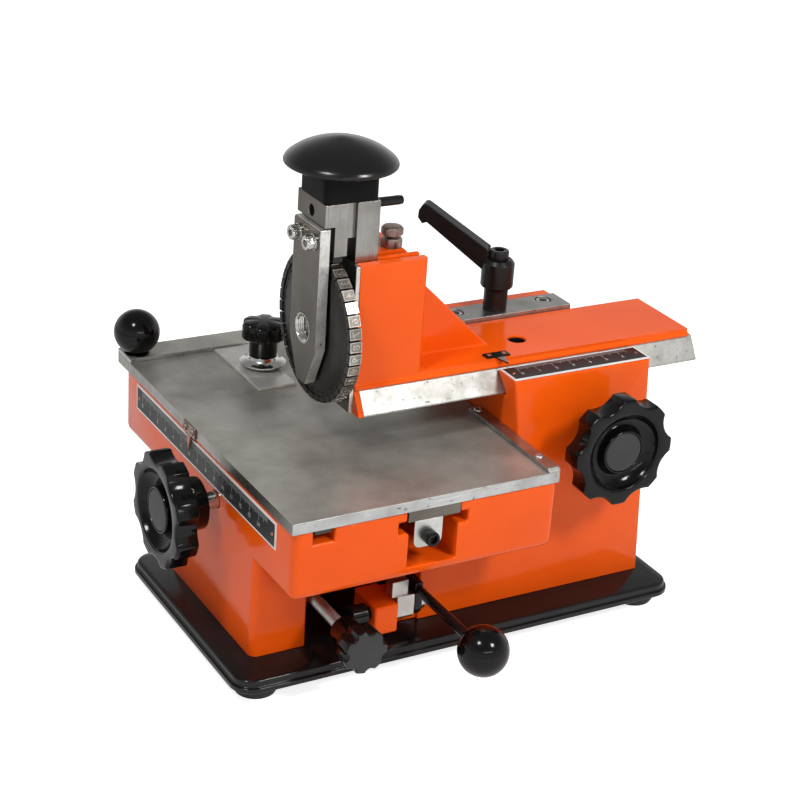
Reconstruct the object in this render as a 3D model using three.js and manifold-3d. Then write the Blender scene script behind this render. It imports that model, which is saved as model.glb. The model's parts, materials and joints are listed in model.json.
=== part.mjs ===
// Nameplate marking machine: a hand-fed table under a sliding arm that carries a type wheel.
// Millimetres, +X along the arm, +Y towards the back, +Z up.
import * as THREE from 'three';
import Module from 'manifold-3d';
import { RoundedBoxGeometry } from 'three/addons/geometries/RoundedBoxGeometry.js';
import { mergeVertices, toCreasedNormals } from 'three/addons/utils/BufferGeometryUtils.js';

const wasm = await Module();
wasm.setup();

// Driving dimensions, from the front left corner of the base rim, with z = 0 on the base plate

// Overrun of a cut, then clearances: turned seats, sliding faces, faces at rest, room about gear teeth
const fit = { cut: 1, turned: 0.25, slide: 0.5, rest: 0.25, teeth: 1.5 };

const gear = {
  module: 2, pressureDegrees: 20, backlash: 0.3, dedendumShare: 1.25,
  get root() { return this.dedendumShare * this.module; },
};

const base = { width: 350, depth: 190, corner: 14, rimDrop: 5, lipOut: 2, lipDrop: 9, wall: 3, edge: 1.5 };

const foot = {
  inset: 20, topRadius: 16, baseRadius: 14, taper: 3, height: 16,
  get ground() { return -base.wall - this.height; },
};

const tray = {
  x0: 19.5, width: 198, y0: -28, length: 280, z0: 72, depth: 49, corner: 6,
  get x1() { return this.x0 + this.width; },
  get y1() { return this.y0 + this.length; },
  get z1() { return this.z0 + this.depth; },
};

const slot = {
  offset: 3, lipHalf: 20, underHalf: 26, wellHalf: 18.5, lip: 7, under: 8.5, well: 25.5,
  get x() { return tray.x0 + tray.width / 2 + this.offset; },
  get lipZ() { return tray.z1 - this.lip; },
  get underZ() { return this.lipZ - this.under; },
  get wellZ() { return this.underZ - this.well; },
};

const table = {
  overhang: 1.5, frontOverhang: 0.5, backOverhang: 11.5, thick: 8.25,
  get x0() { return tray.x0 - this.overhang; },
  get x1() { return tray.x1; },
  get y0() { return tray.y0 - this.frontOverhang; },
  get y1() { return tray.y1 + this.backOverhang; },
  get z0() { return tray.z1 + fit.rest; },
  get z1() { return this.z0 + this.thick; },
};

const keel = {
  frontInset: 0.5, backInset: 2, footClear: 1.5, footHeight: 6, footFrontInset: 38.5, footBackInset: 23.5,
  get half() { return slot.lipHalf - fit.slide; },
  get z0() { return slot.lipZ - fit.slide; },
  get footHalf() { return slot.underHalf - this.footClear; },
  get footZ0() { return this.z0 - this.footHeight; },
};

const tableRack = {
  inset: 17, width: 12, frontInset: 2.5, length: 196, plainFront: 40, plainBack: 5, backing: 3.75,
  get x0() { return table.x0 + this.inset; },
  get x1() { return this.x0 + this.width; },
  get y0() { return table.y0 + this.frontInset; },
  get y1() { return this.y0 + this.length; },
  get pitchZ() { return table.z0 - this.backing - gear.root; },
};

const backRail = {
  width: 23.5, height: 3.25,
  get y0() { return table.y1 - this.width; },
  get z1() { return table.z1 + this.height; },
};

const fence = {
  width: 9, length: 106.5, height: 3, screwRadius: 3.2, screwHeight: 1.25, frontScrew: 20.5, backScrew: 6,
  get y1() { return table.y0 + this.length; },
  get z1() { return table.z1 + this.height; },
};

const tab = {
  offset: 14.5, width: 21, drop: 20, thick: 1.5, leg: 14, corner: 5,
  get x0() { return slot.x - this.offset; },
  get x1() { return this.x0 + this.width; },
  get y0() { return table.y0 + keel.frontInset; },
  get z0() { return keel.z0 - this.drop; },
};

const tabScrew = { along: 11, up: 7.5, radius: 5, head: 7, socketFlats: 5.2, socketDepth: 3 };

const linePointer = { along: 159, half: 9.5, height: 7.5, drop: 12, tipHalf: 3.2, thick: 1.25 };

const clampStrip = {
  inset: 66, width: 30, length: 77.5, thick: 2,
  get x0() { return table.x0 + this.inset; },
  get y1() { return backRail.y0 - fit.slide; },
  get z1() { return table.z1 + this.thick; },
};

const clampKnob = {
  inset: 87, fromBack: 63.5, flareRadius: 17, seatHeight: 12, neckRadius: 10.5, neckTop: 22,
  headRadius: 16.25, valley: 13.9, headTop: 35.5, edge: 1.5, lobes: 6, landDegrees: 13,
  seatShares: [[0.76, 0], [0.8, 0.25], [1, 0.72], [1, 0.87], [0.7, 1]],
  get x() { return table.x0 + this.inset; },
  get y() { return table.y1 - this.fromBack; },
};

const handle = {
  inset: 9.5, fromBack: 12.5, baseRadius: 9.5, baseHeight: 1, ballRadius: 16.75, ballFlat: 7,
  get x() { return table.x0 + this.inset; },
  get y() { return table.y1 - this.fromBack; },
};

const pedestal = {
  x1: 60, y0: 27.5, depth: 137.5, corner: 6,
  get y1() { return this.y0 + this.depth; },
};

const walls = {
  height: 80, frontX0: 148, frontThick: 14.5, rearThick: 15,
  get frontY1() { return pedestal.y0 + this.frontThick; },
  get rearY0() { return pedestal.y1 - this.rearThick; },
};

const trayPocket = {
  endWall: 12, rib: 5, pedestalRib: 2, wellWall: 15, sideWall: 17.5, roof: 11,
  get spansX() {
    return [
      [pedestal.x1 + this.pedestalRib, slot.x - slot.wellHalf - this.wellWall],
      [slot.x + slot.wellHalf + this.wellWall, tray.x1 - this.sideWall],
    ];
  },
  get spansY() {
    return [
      [tray.y0 + this.endWall, pedestal.y0 - this.rib],
      [walls.frontY1 + this.rib, walls.rearY0 - this.rib],
      [pedestal.y1 + this.rib, tray.y1 - this.endWall],
    ];
  },
};

const column = {
  lap: 8, shoulder: 2.5, footWidth: 127.5, topWidth: 116.5, depth: 127.5, z1: 173, channel: 16.5, edge: 2,
  passGap: 0.75, ledgeWidth: 109.5, ledgeThick: 15.5, ledgeHeight: 8, ledgeRound: 4, root: 9,
  get x0() { return tray.x1 - this.lap; },
  get passX0() { return table.x1 + fit.slide; },
  get passZ() { return fence.z1 + fence.screwHeight + this.passGap; },
  get topX0() { return this.x0 + this.shoulder; },
  get topX1() { return this.x0 + this.topWidth; },
  get footX1() { return this.x0 + this.footWidth; },
  get y1() { return pedestal.y0 + this.depth; },
  get floorZ() { return this.z1 - this.channel; },
  get ledgeX1() { return this.x0 + this.ledgeWidth; },
  get ledgeY0() { return this.y1 - this.ledgeThick; },
  get ledgeZ() { return this.z1 + this.ledgeHeight; },
};

const columnPocket = { wall: 12.5, rib: 10, width: 38, frontWall: 10.5, backWall: 10, roofZ: 86 };

const arm = {
  gap: 1, headLength: 4, length: 276, topY0: 52, width: 62, height: 16.5, spread: 9.25, lip: 1,
  groove: 2.5, sideGap: 0.6, backGap: 0.3,
  get x0() { return slab.x0 + this.headLength; },
  get x1() { return this.x0 + this.length; },
  get topY1() { return this.topY0 + this.width; },
  get z0() { return column.floorZ + this.gap; },
  get z1() { return this.z0 + this.height; },
  get grooveZ() { return this.z0 + this.groove; },
  get leanShare() { return this.spread / (this.height - this.lip); },
};

const armRack = {
  inset: 61, length: 145, across: 25, width: 12, plain: 4, backing: 5,
  get x0() { return arm.x0 + this.inset; },
  get x1() { return this.x0 + this.length; },
  get y0() { return arm.topY0 + this.across; },
  get y1() { return this.y0 + this.width; },
  get pitchZ() { return arm.grooveZ - this.backing - gear.root; },
};

const slab = {
  reach: 109.5, endSetBack: 4, frontIn: 0.5, backOut: 1.5, lipOut: 2, lipHeight: 2.5, stepHeight: 3.5, height: 6,
  get x0() { return column.x0 - this.reach; },
  get x1() { return arm.x1 - this.endSetBack; },
  get y0() { return arm.topY0 - this.frontIn; },
  get y1() { return arm.topY1 + this.backOut; },
  get lipY0() { return this.y0 - this.lipOut; },
  get z1() { return arm.z1 + this.height; },
};

const slabHole = { along: 144, across: 26, radius: 6.5, depth: 12 };

const gib = {
  length: 105.5, proud: 2,
  get x0() { return column.x0; },
  get x1() { return this.x0 + this.length; },
  get y0() { return slab.y1 + fit.slide; },
  get y1() { return column.ledgeY0; },
  get z1() { return column.ledgeZ + this.proud; },
  get noseZ() { return arm.z1 - fit.slide; },
};

const gibScrew = { inset: 15, fromBack: 8.5, counterRadius: 6.25, radius: 5.5, depth: 6, socketFlats: 5.6, socketDepth: 3 };

const shaft = { radius: 6, handEnd: 12, wheelReach: 44.5, endGap: 1 };

const leftFeed = {
  y: 89, teeth: 24, faceInset: 1, tail: 11,
  get pitchRadius() { return (gear.module * this.teeth) / 2; },
  get z() { return tableRack.pitchZ - this.pitchRadius; },
};

const rightFeed = {
  offset: 69.5, teeth: 26, faceInset: 1, tail: 16,
  get pitchRadius() { return (gear.module * this.teeth) / 2; },
  get x() { return column.x0 + this.offset; },
  get z() { return armRack.pitchZ - this.pitchRadius; },
};

const handwheel = {
  radius: 40, lobes: 8, valley: 35.2, landDegrees: 7.2, rim: 16, edge: 1, hubRadius: 18.5, length: 32.5,
  dishRadius: 28.8, dishSlope: 5, dishDepth: 9, capSeat: 5, capRadius: 14.5, capHeight: 3.5, capRing: 1.3,
};

const lobe = { shoulder: 0.6, crestShare: 0.6 };

const wheel = {
  radius: 52.5, rootDepth: 3.9, thick: 8.5, places: 38, tileShare: 0.82, rootShare: 1.02, hubRadius: 13, hubLength: 4.5,
  rise: 32, aside: 0.5, play: 1,
  get x0() { return plunger.stepX + this.play; },
  get x1() { return this.x0 + this.thick; },
  get hubX1() { return this.x1 + this.hubLength; },
  get y() { return plunger.y + this.aside; },
  get z() { return slab.z1 + this.rise; },
};

const axle = { flangeRadius: 13, radius: 8, tailRadius: 6, hollow: 8.8, hollowDepth: 5.5, collar: 0.5 };

const plunger = {
  side: 40, stroke: 14, step: 5, cheekGap: 2.5, slotRise: 11, stepRise: 20.5, headRise: 36, slotFromFront: 17,
  grooveDepth: 3, rabbetDepth: 2.5, rabbetWidth: 6, stop: 3,
  get x1() { return this.x0 + this.side; },
  get x0() { return slab.x0 + head.lead - this.side; },
  get y0() { return slab.y0 + head.plate + fit.slide; },
  get y1() { return this.y0 + this.side; },
  get x() { return this.x0 + this.side / 2; },
  get y() { return this.y0 + this.side / 2; },
  get stepX() { return this.x0 + this.step; },
  get slotX0() { return this.x0 + this.slotFromFront; },
  get tongueX0() { return slab.x0 + fit.rest; },
  get tongueZ() { return head.pocketZ + this.stroke + this.stop; },
  get cheekZ() { return wheel.z + wheel.radius + this.cheekGap; },
  get slotZ() { return this.cheekZ + this.slotRise; },
  get stepZ() { return this.cheekZ + this.stepRise; },
  get z1() { return this.cheekZ + this.headRise; },
};

const head = {
  width: 51, depth: 60.5, height: 82, plate: 8, lead: 17, floor: 2, groove: 4, grooveDepth: 10, rib: 3.5,
  rearPost: 39.5, cornerCut: 7, edge: 2.5, root: 9, fillet: 5, filletShare: 0.3,
  get x1() { return slab.x0 + this.width; },
  get y1() { return slab.y0 + this.depth; },
  get z1() { return slab.z1 + this.height; },
  get pocketX1() { return plunger.x1 + fit.slide; },
  get pocketY0() { return plunger.y0 - fit.slide; },
  get pocketY1() { return plunger.y1 + fit.slide; },
  get pocketZ() { return slab.z1 + this.floor; },
  get rearY0() { return this.y1 - this.rearPost; },
};

const gusset = { length: 68, drop: 17, across: 25.5, thick: 10 };

const sidePlate = {
  thick: 3,
  get x0() { return slab.x0 - this.thick; },
  get slotHalf() { return axle.radius + fit.slide; },
};

const pawl = { x0Inset: 1, x1Inset: 0.5, reach: 3.5, gap: 1.5 };

const crossPin = { drop: 9, radius: 3.25, seat: 14, past: 6.5, leftBore: 4, leftRib: 2 };

const stopBolt = { fromEdge: 13, shankRadius: 4, depth: 12, nutFlats: 13, nut: 6.5, headFlats: 13, head: 6 };

const bracket = {
  thick: 7.5, inset: 1, topDrop: 1.5, shoulderDrop: 10, tipHalf: 6, tipDrop: 38.5, bore: 10.5, corner: 2,
  get x0() { return plunger.stepX - this.thick; },
  get y0() { return plunger.y0 + this.inset; },
  get y1() { return plunger.y1 - this.inset; },
  get z1() { return plunger.stepZ - this.topDrop; },
};

const bracketScrew = { inset: 8.25, drop: 10, radius: 5.5, head: 7, socketFlats: 5, socketDepth: 3 };

const knobBase = { half: 20, corner: 6, height: 18 };

const knob = {
  radius: 37.75, rimRise: 4, dome: 17,
  skirtShares: [[0.53, 0], [0.87, 0.25], [0.975, 0.63], [1, 1]],
  domeShares: [[0.98, 0.13], [0.89, 0.32], [0.75, 0.53], [0.55, 0.75], [0.31, 0.91], [0, 1]],
};

const scale = {
  thick: 1, lineInset: 24, lineDrop: 3, lineHeight: 19, endInset: 0.5, armGap: 1,
};

const columnPointer = { aside: 2.5, half: 9.5, inset: 2.5, depth: 7, reach: 10.5, tipHalf: 3.4, thick: 1.25 };

const clampLever = {
  along: 46.25, fromBack: 11.5, bodyRadius: 8.75, bodyHeight: 15.5, hubRadius: 12, hubHeight: 23.5, chamfer: 3,
  neckRadius: 9.5, headingDegrees: 135, riseDegrees: 30.5, armDrop: 6, reach: 70, width: 11, rootHeight: 17,
  outlineShares: [
    [0, -0.5], [0.86, -0.29], [0.89, -0.47], [0.965, -0.35], [1, -0.06], [1, 0.29], [0.97, 0.38], [0, 0.44],
  ],
  get x() { return gib.x0 + this.along; },
  get y() { return gib.y1 - this.fromBack; },
  get bodyZ() { return gib.z1 + this.bodyHeight; },
  get hubZ() { return this.bodyZ + this.hubHeight; },
};

const leverScrew = { radius: 7.25, height: 6.5, socketFlats: 7, socketDepth: 3.5 };

const screw = { chamfer: 0.6 };

const boss = {
  x0: 104, width: 18, y0: 10, z0: 6, z1: 28, taper: 7, taperShare: 0.6, ribX1: 150, ribY0: 30, ribZ: 26,
  get x1() { return this.x0 + this.width; },
};

const bearing = {
  width: 13.5, front: 8, back: 10, below: 7, above: 12, round: 3, wingOut: 3.5, wingIn: 4.5, wingFront: 2, wingBack: 6,
  wingHeight: 11,
  get x0() { return boss.x1; },
  get x1() { return this.x0 + this.width; },
};

const handLever = {
  y: 20, z: 20, pinRadius: 4, hubWidth: 6, hubRadius: 7.5, armBack: 7, armHeight: 19.5, rodRadius: 3.5,
  rodRise: 13.5, rodLength: 68.5, ballRadius: 17.5, ballFlat: 4.5, bolt: 5, boltFlats: 9,
  get hubX0() { return bearing.x1 + fit.slide; },
  get hubX1() { return this.hubX0 + this.hubWidth; },
};

const leverCollar = {
  gap: 3, width: 12, cap: 3, radius: 7.5,
  get x1() { return boss.x0 - this.gap; },
  get x0() { return this.x1 - this.width; },
};

const stud = {
  inset: 9, z: 31.5, radius: 4.5, past: 4,
  get x() { return pedestal.x1 + this.inset; },
};

const lug = {
  side: 11, half: 9, y0: 45, thick: 15, root: 9,
  get y1() { return this.y0 + this.thick; },
};

const studKnob = {
  faceY: -42, headDepth: 15, neck: 19, neckRadius: 10, radius: 15.75, valley: 13.4, edge: 1, lobes: 7, landDegrees: 12,
  get neckY() { return this.faceY + this.headDepth; },
  get hubY() { return this.neckY + this.neck; },
};

// The machine's middle is rounded to this when its origin is set
const placing = { step: 0.25 };

// Sides or steps of round shapes
const facets = { shaft: 20, hub: 24, dish: 24, cap: 24, screw: 16, foot: 20, ball: 20, ballSteps: 9, knob: 28, lobe: 4 };

// Materials

const orangeEnamel = () => new THREE.MeshStandardMaterial({ color: 0xe8541a, roughness: 0.32, metalness: 0.1 });
const blackEnamel = () => new THREE.MeshStandardMaterial({ color: 0x121214, roughness: 0.35, metalness: 0.2 });
const blackPlastic = () => new THREE.MeshStandardMaterial({ color: 0x101011, roughness: 0.2, metalness: 0 });
const mattPlastic = () => new THREE.MeshStandardMaterial({ color: 0x29292a, roughness: 0.6, metalness: 0 });
const blackRubber = () => new THREE.MeshStandardMaterial({ color: 0x151515, roughness: 0.85, metalness: 0 });
const groundSteel = () => new THREE.MeshStandardMaterial({ color: 0x9c9a93, roughness: 0.4, metalness: 0.9 });
const brightSteel = () => new THREE.MeshStandardMaterial({ color: 0xc9c9c7, roughness: 0.25, metalness: 1 });
const zincPlate = () => new THREE.MeshStandardMaterial({ color: 0xd6d6d2, roughness: 0.35, metalness: 0.9 });
const darkSteel = () => new THREE.MeshStandardMaterial({ color: 0x4a4744, roughness: 0.5, metalness: 0.8 });
const blackScale = () => new THREE.MeshStandardMaterial({ color: 0x1d1f22, roughness: 0.45, metalness: 0.5 });

// Shapes and solids

function polygon(points) {
  return new THREE.Shape(points.map(([a, b]) => new THREE.Vector2(a, b)));
}

function roundedRectangle(x0, x1, y0, y1, r) {
  const shape = new THREE.Shape();
  shape.moveTo(x0 + r, y0);
  shape.lineTo(x1 - r, y0);
  shape.absarc(x1 - r, y0 + r, r, -Math.PI / 2, 0);
  shape.lineTo(x1, y1 - r);
  shape.absarc(x1 - r, y1 - r, r, 0, Math.PI / 2);
  shape.lineTo(x0 + r, y1);
  shape.absarc(x0 + r, y1 - r, r, Math.PI / 2, Math.PI);
  shape.lineTo(x0, y0 + r);
  shape.absarc(x0 + r, y0 + r, r, Math.PI, 1.5 * Math.PI);
  return shape;
}

function extrude(shape, depth, options = {}) {
  return new THREE.ExtrudeGeometry(shape, { depth, bevelEnabled: false, curveSegments: 5, ...options });
}

function bevel(size, segments) {
  return { bevelEnabled: true, bevelThickness: size, bevelSize: size, bevelSegments: segments };
}

// Upright prism on an outline in X and Y
function prismZ(shape, z0, z1, options) {
  return extrude(shape, z1 - z0, options).translate(0, 0, z0);
}

// Prism along Y on an outline in X and Z
function prismY(shape, y0, y1, options) {
  const turn = new THREE.Matrix4().makeBasis(
    new THREE.Vector3(1, 0, 0), new THREE.Vector3(0, 0, 1), new THREE.Vector3(0, -1, 0),
  );
  return extrude(shape, y1 - y0, options).applyMatrix4(turn).translate(0, y1, 0);
}

// Prism along X on an outline in Y and Z
function prismX(shape, x0, x1, options) {
  const turn = new THREE.Matrix4().makeBasis(
    new THREE.Vector3(0, 1, 0), new THREE.Vector3(0, 0, 1), new THREE.Vector3(1, 0, 0),
  );
  return extrude(shape, x1 - x0, options).applyMatrix4(turn).translate(x0, 0, 0);
}

function block(x0, x1, y0, y1, z0, z1) {
  const size = [x1 - x0, y1 - y0, z1 - z0];
  return new THREE.BoxGeometry(...size).translate((x0 + x1) / 2, (y0 + y1) / 2, (z0 + z1) / 2);
}

// Turned piece about +Z: each point is a radius and a height
function turned(profile, segments = facets.hub) {
  const points = profile.map(([r, z]) => new THREE.Vector2(r, z));
  const spin = new THREE.Matrix4().makeBasis(
    new THREE.Vector3(1, 0, 0), new THREE.Vector3(0, 0, 1), new THREE.Vector3(0, -1, 0),
  );
  return new THREE.LatheGeometry(points, segments).applyMatrix4(spin);
}

function rod(radius, z0, z1, segments = facets.shaft) {
  return turned([[0, z0], [radius, z0], [radius, z1], [0, z1]], segments);
}

// Turns a piece made about +Z so that its axis runs along +X or +Y
function alongX(geometry) {
  const turn = new THREE.Matrix4().makeBasis(
    new THREE.Vector3(0, 1, 0), new THREE.Vector3(0, 0, 1), new THREE.Vector3(1, 0, 0),
  );
  return geometry.applyMatrix4(turn);
}

function alongY(geometry) {
  const turn = new THREE.Matrix4().makeBasis(
    new THREE.Vector3(0, 0, 1), new THREE.Vector3(1, 0, 0), new THREE.Vector3(0, 1, 0),
  );
  return geometry.applyMatrix4(turn);
}

function rodX(radius, x0, x1, y, z, segments) {
  return alongX(rod(radius, x0, x1, segments)).translate(0, y, z);
}

function rodY(radius, y0, y1, x, z, segments) {
  return alongY(rod(radius, y0, y1, segments)).translate(x, 0, z);
}

function rodZ(radius, z0, z1, x, y, segments) {
  return rod(radius, z0, z1, segments).translate(x, y, 0);
}

function toSolid(geometry) {
  const bare = geometry.clone();
  bare.deleteAttribute('normal');
  bare.deleteAttribute('uv');
  const welded = mergeVertices(bare, 1e-4);
  return new wasm.Manifold(new wasm.Mesh({
    numProp: 3,
    vertProperties: new Float32Array(welded.attributes.position.array),
    triVerts: new Uint32Array(welded.index.array),
  }));
}

function toGeometry(solid) {
  const mesh = solid.getMesh();
  const geometry = new THREE.BufferGeometry();
  geometry.setAttribute('position', new THREE.BufferAttribute(new Float32Array(mesh.vertProperties), 3));
  geometry.setIndex(new THREE.BufferAttribute(new Uint32Array(mesh.triVerts), 1));
  return toCreasedNormals(geometry, Math.PI / 6);
}

// Joins the first list into one solid and cuts the second list out of it
function carve(joined, cuts = []) {
  const whole = joined.map(toSolid).reduce((a, b) => a.add(b));
  return toGeometry(cuts.map(toSolid).reduce((a, b) => a.subtract(b), whole));
}

function piece(name, geometry, material) {
  const mesh = new THREE.Mesh(geometry, material);
  mesh.name = name;
  return mesh;
}

function group(parts, x = 0, y = 0, z = 0) {
  const set = new THREE.Group();
  set.position.set(x, y, z);
  set.add(...parts);
  return set;
}

// Outline with shallow finger scallops between short lands, the first land or valley on +X
function lobedShape(lobes, radius, valley, landDegrees, startsInValley = false) {
  const pitch = (2 * Math.PI) / lobes;
  const land = THREE.MathUtils.degToRad(landDegrees);
  const foot0 = radius - lobe.shoulder;
  const points = [];
  for (let i = 0; i < lobes; i += 1) {
    const middle = (i + (startsInValley ? 0.5 : 0)) * pitch;
    points.push([foot0, middle - land], [radius, middle - land * lobe.crestShare]);
    points.push([radius, middle + land * lobe.crestShare], [foot0, middle + land]);
    for (let k = 1; k < facets.lobe; k += 1) {
      const t = k / facets.lobe;
      points.push([foot0 - (foot0 - valley) * Math.sin(Math.PI * t), middle + land + t * (pitch - 2 * land)]);
    }
  }
  return polygon(points.map(([r, a]) => [r * Math.cos(a), r * Math.sin(a)]));
}

function hexShape(acrossFlats) {
  const reach = acrossFlats / Math.sqrt(3);
  return polygon([0, 1, 2, 3, 4, 5].map((i) => [reach * Math.cos((i * Math.PI) / 3), reach * Math.sin((i * Math.PI) / 3)]));
}

// Involute pinion with a tooth on +Y of the outline
function pinionShape(feed) {
  const pressure = THREE.MathUtils.degToRad(gear.pressureDegrees);
  const baseRadius = feed.pitchRadius * Math.cos(pressure);
  const involute = (a) => Math.tan(a) - a;
  const pitchHalf = Math.PI / (2 * feed.teeth) - gear.backlash / (2 * feed.pitchRadius);
  const half = (r) => pitchHalf + involute(pressure) - involute(Math.acos(Math.min(1, baseRadius / r)));
  const root = feed.pitchRadius - gear.root;
  const tip = feed.pitchRadius + gear.module;
  const flank = [[root, half(baseRadius)], [feed.pitchRadius, half(feed.pitchRadius)], [tip, half(tip)]];
  const points = [];
  for (let i = 0; i < feed.teeth; i += 1) {
    const middle = Math.PI / 2 + (2 * Math.PI * i) / feed.teeth;
    flank.forEach(([r, a]) => points.push([r * Math.cos(middle - a), r * Math.sin(middle - a)]));
    [...flank].reverse().forEach(([r, a]) => points.push([r * Math.cos(middle + a), r * Math.sin(middle + a)]));
  }
  return polygon(points);
}

// Rack bar whose teeth point down, with a tooth space over the pinion's middle
function rackShape(start, end, teethStart, teethEnd, pinionAt, pitchLine, top) {
  const pitch = Math.PI * gear.module;
  const rootLine = pitchLine + gear.root;
  const tipLine = pitchLine - gear.module;
  const slope = Math.tan(THREE.MathUtils.degToRad(gear.pressureDegrees));
  const tipHalf = (pitch / 2 - gear.backlash) / 2 - gear.module * slope;
  const rootHalf = (pitch / 2 - gear.backlash) / 2 + gear.root * slope;
  const points = [[start, rootLine]];
  const first = Math.ceil((teethStart - pinionAt) / pitch - 0.5);
  const last = Math.floor((teethEnd - pinionAt) / pitch - 0.5);
  for (let i = first; i <= last; i += 1) {
    const middle = pinionAt + (i + 0.5) * pitch;
    points.push([middle - rootHalf, rootLine], [middle - tipHalf, tipLine]);
    points.push([middle + tipHalf, tipLine], [middle + rootHalf, rootLine]);
  }
  points.push([end, rootLine], [end, top], [start, top]);
  return polygon(points);
}

// Base plate, a shallow pan with a stepped rim, on four round feet

const upperRim = prismZ(
  roundedRectangle(base.edge, base.width - base.edge, base.edge, base.depth - base.edge, base.corner - base.edge),
  -base.rimDrop, -base.edge, bevel(base.edge, 2),
);
const lowerLip = prismZ(
  roundedRectangle(
    -base.lipOut, base.width + base.lipOut, -base.lipOut, base.depth + base.lipOut, base.corner + base.lipOut,
  ),
  -base.lipDrop, -base.rimDrop,
);
const panHollow = prismZ(
  roundedRectangle(base.wall, base.width - base.wall, base.wall, base.depth - base.wall, base.corner - base.wall),
  -base.lipDrop - fit.cut, -base.wall,
);
const basePan = piece('Base_Pan', carve([upperRim, lowerLip], [panHollow]), blackEnamel());

function footAt(name, x, y) {
  const profile = [
    [0, foot.ground], [foot.baseRadius, foot.ground], [foot.topRadius, foot.ground + foot.taper],
    [foot.topRadius, -base.wall], [0, -base.wall],
  ];
  const mesh = piece(name, turned(profile, facets.foot), blackRubber());
  mesh.position.set(x, y, 0);
  return mesh;
}

const feet = [
  footAt('Foot_Front_Left', foot.inset, foot.inset),
  footAt('Foot_Front_Right', base.width - foot.inset, foot.inset),
  footAt('Foot_Back_Left', foot.inset, base.depth - foot.inset),
  footAt('Foot_Back_Right', base.width - foot.inset, base.depth - foot.inset),
];

// Frame casting: tray on a pedestal, column beside it, low walls between, bearing boss in front

const trayBody = new RoundedBoxGeometry(tray.width, tray.length, tray.depth + 2 * tray.corner, 2, tray.corner).translate(
  (tray.x0 + tray.x1) / 2, (tray.y0 + tray.y1) / 2, (tray.z0 + tray.z1) / 2 + tray.corner,
);
const trayTop = block(
  tray.x0 - fit.cut, tray.x1 + fit.cut, tray.y0 - fit.cut, tray.y1 + fit.cut, tray.z1, tray.z1 + 3 * tray.corner,
);

function trayBand(x0, x1, z0, z1) {
  return block(x0, x1, tray.y0 - fit.cut, tray.y1 + fit.cut, z0, z1);
}

const tableRackTip = tableRack.pitchZ - gear.module;
const slotCuts = [
  trayBand(slot.x - slot.lipHalf, slot.x + slot.lipHalf, slot.lipZ - fit.cut, tray.z1 + fit.cut),
  trayBand(slot.x - slot.underHalf, slot.x + slot.underHalf, slot.underZ, slot.lipZ),
  trayBand(slot.x - slot.wellHalf, slot.x + slot.wellHalf, slot.wellZ, slot.underZ + fit.cut),
  trayBand(tableRack.x0 - fit.teeth, tableRack.x1 + fit.teeth, tableRackTip - fit.teeth, tray.z1 + fit.cut),
];
const trayPockets = trayPocket.spansX.flatMap(([x0, x1]) => trayPocket.spansY.map(
  ([y0, y1]) => block(x0, x1, y0, y1, tray.z0 - fit.cut, tray.z1 - trayPocket.roof),
));
const pedestalBody = prismZ(
  roundedRectangle(tray.x0, pedestal.x1 + pedestal.corner, pedestal.y0, pedestal.y1, pedestal.corner),
  0, tray.z0 + tray.corner + fit.cut,
);
const pedestalTrim = block(
  pedestal.x1, pedestal.x1 + pedestal.corner + fit.cut, pedestal.y0 - fit.cut, walls.rearY0, -fit.cut, tray.z0,
);
const columnBody = prismY(
  polygon([
    [column.x0 + column.edge, 0], [column.footX1 - column.edge, 0],
    [column.topX1 - column.edge, column.z1 - column.edge], [column.topX0 + column.edge, column.z1 - column.edge],
    [column.passX0 + column.edge, column.passZ], [column.passX0 + column.edge, tray.z1 - column.edge],
    [column.x0 + column.edge, tray.z1 - column.edge],
  ]),
  pedestal.y0 + column.edge, column.y1 - column.edge, bevel(column.edge, 2),
);
const columnTrim = block(
  column.x0 - fit.cut, column.footX1 + fit.cut, pedestal.y0 - fit.cut, column.y1 + fit.cut,
  -column.edge - fit.cut, 0,
);
const ledge = prismY(
  polygon([
    [column.topX0, column.z1 - column.root], [column.ledgeX1, column.z1 - column.root],
    [column.ledgeX1, column.ledgeZ - column.ledgeRound], [column.ledgeX1 - column.ledgeRound, column.ledgeZ],
    [column.topX0, column.ledgeZ],
  ]),
  column.ledgeY0, column.y1 - column.edge,
);

// Y of the arm's front and back flank at a height
function frontFlank(z) {
  return arm.topY0 - (arm.z1 - z) * arm.leanShare;
}

function backFlank(z) {
  return arm.topY1 + (arm.z1 - z) * arm.leanShare;
}

const armChannel = prismX(
  polygon([
    [frontFlank(column.floorZ) - arm.sideGap, column.floorZ], [frontFlank(column.z1) - arm.sideGap, column.z1],
    [frontFlank(column.z1) - arm.sideGap, column.ledgeZ + fit.cut], [column.ledgeY0, column.ledgeZ + fit.cut],
    [column.ledgeY0, column.floorZ],
  ]),
  column.x0 - fit.cut, column.footX1,
);
const wallBodies = [
  block(walls.frontX0, column.x0 + column.root, pedestal.y0, walls.frontY1, 0, walls.height),
  block(pedestal.x1 - pedestal.corner, column.x0 + column.root, walls.rearY0, pedestal.y1, 0, walls.height),
];
const columnPockets = [0, 1].map((i) => {
  const x0 = column.x0 + columnPocket.wall + i * (columnPocket.width + columnPocket.rib);
  return block(
    x0, x0 + columnPocket.width, pedestal.y0 + columnPocket.frontWall, column.y1 - columnPocket.backWall,
    -fit.cut, columnPocket.roofZ,
  );
});
const rightTip = rightFeed.pitchRadius + gear.module + fit.teeth;
const rightPinion = {
  y0: armRack.y0 + rightFeed.faceInset, y1: armRack.y1 - rightFeed.faceInset,
};
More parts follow.
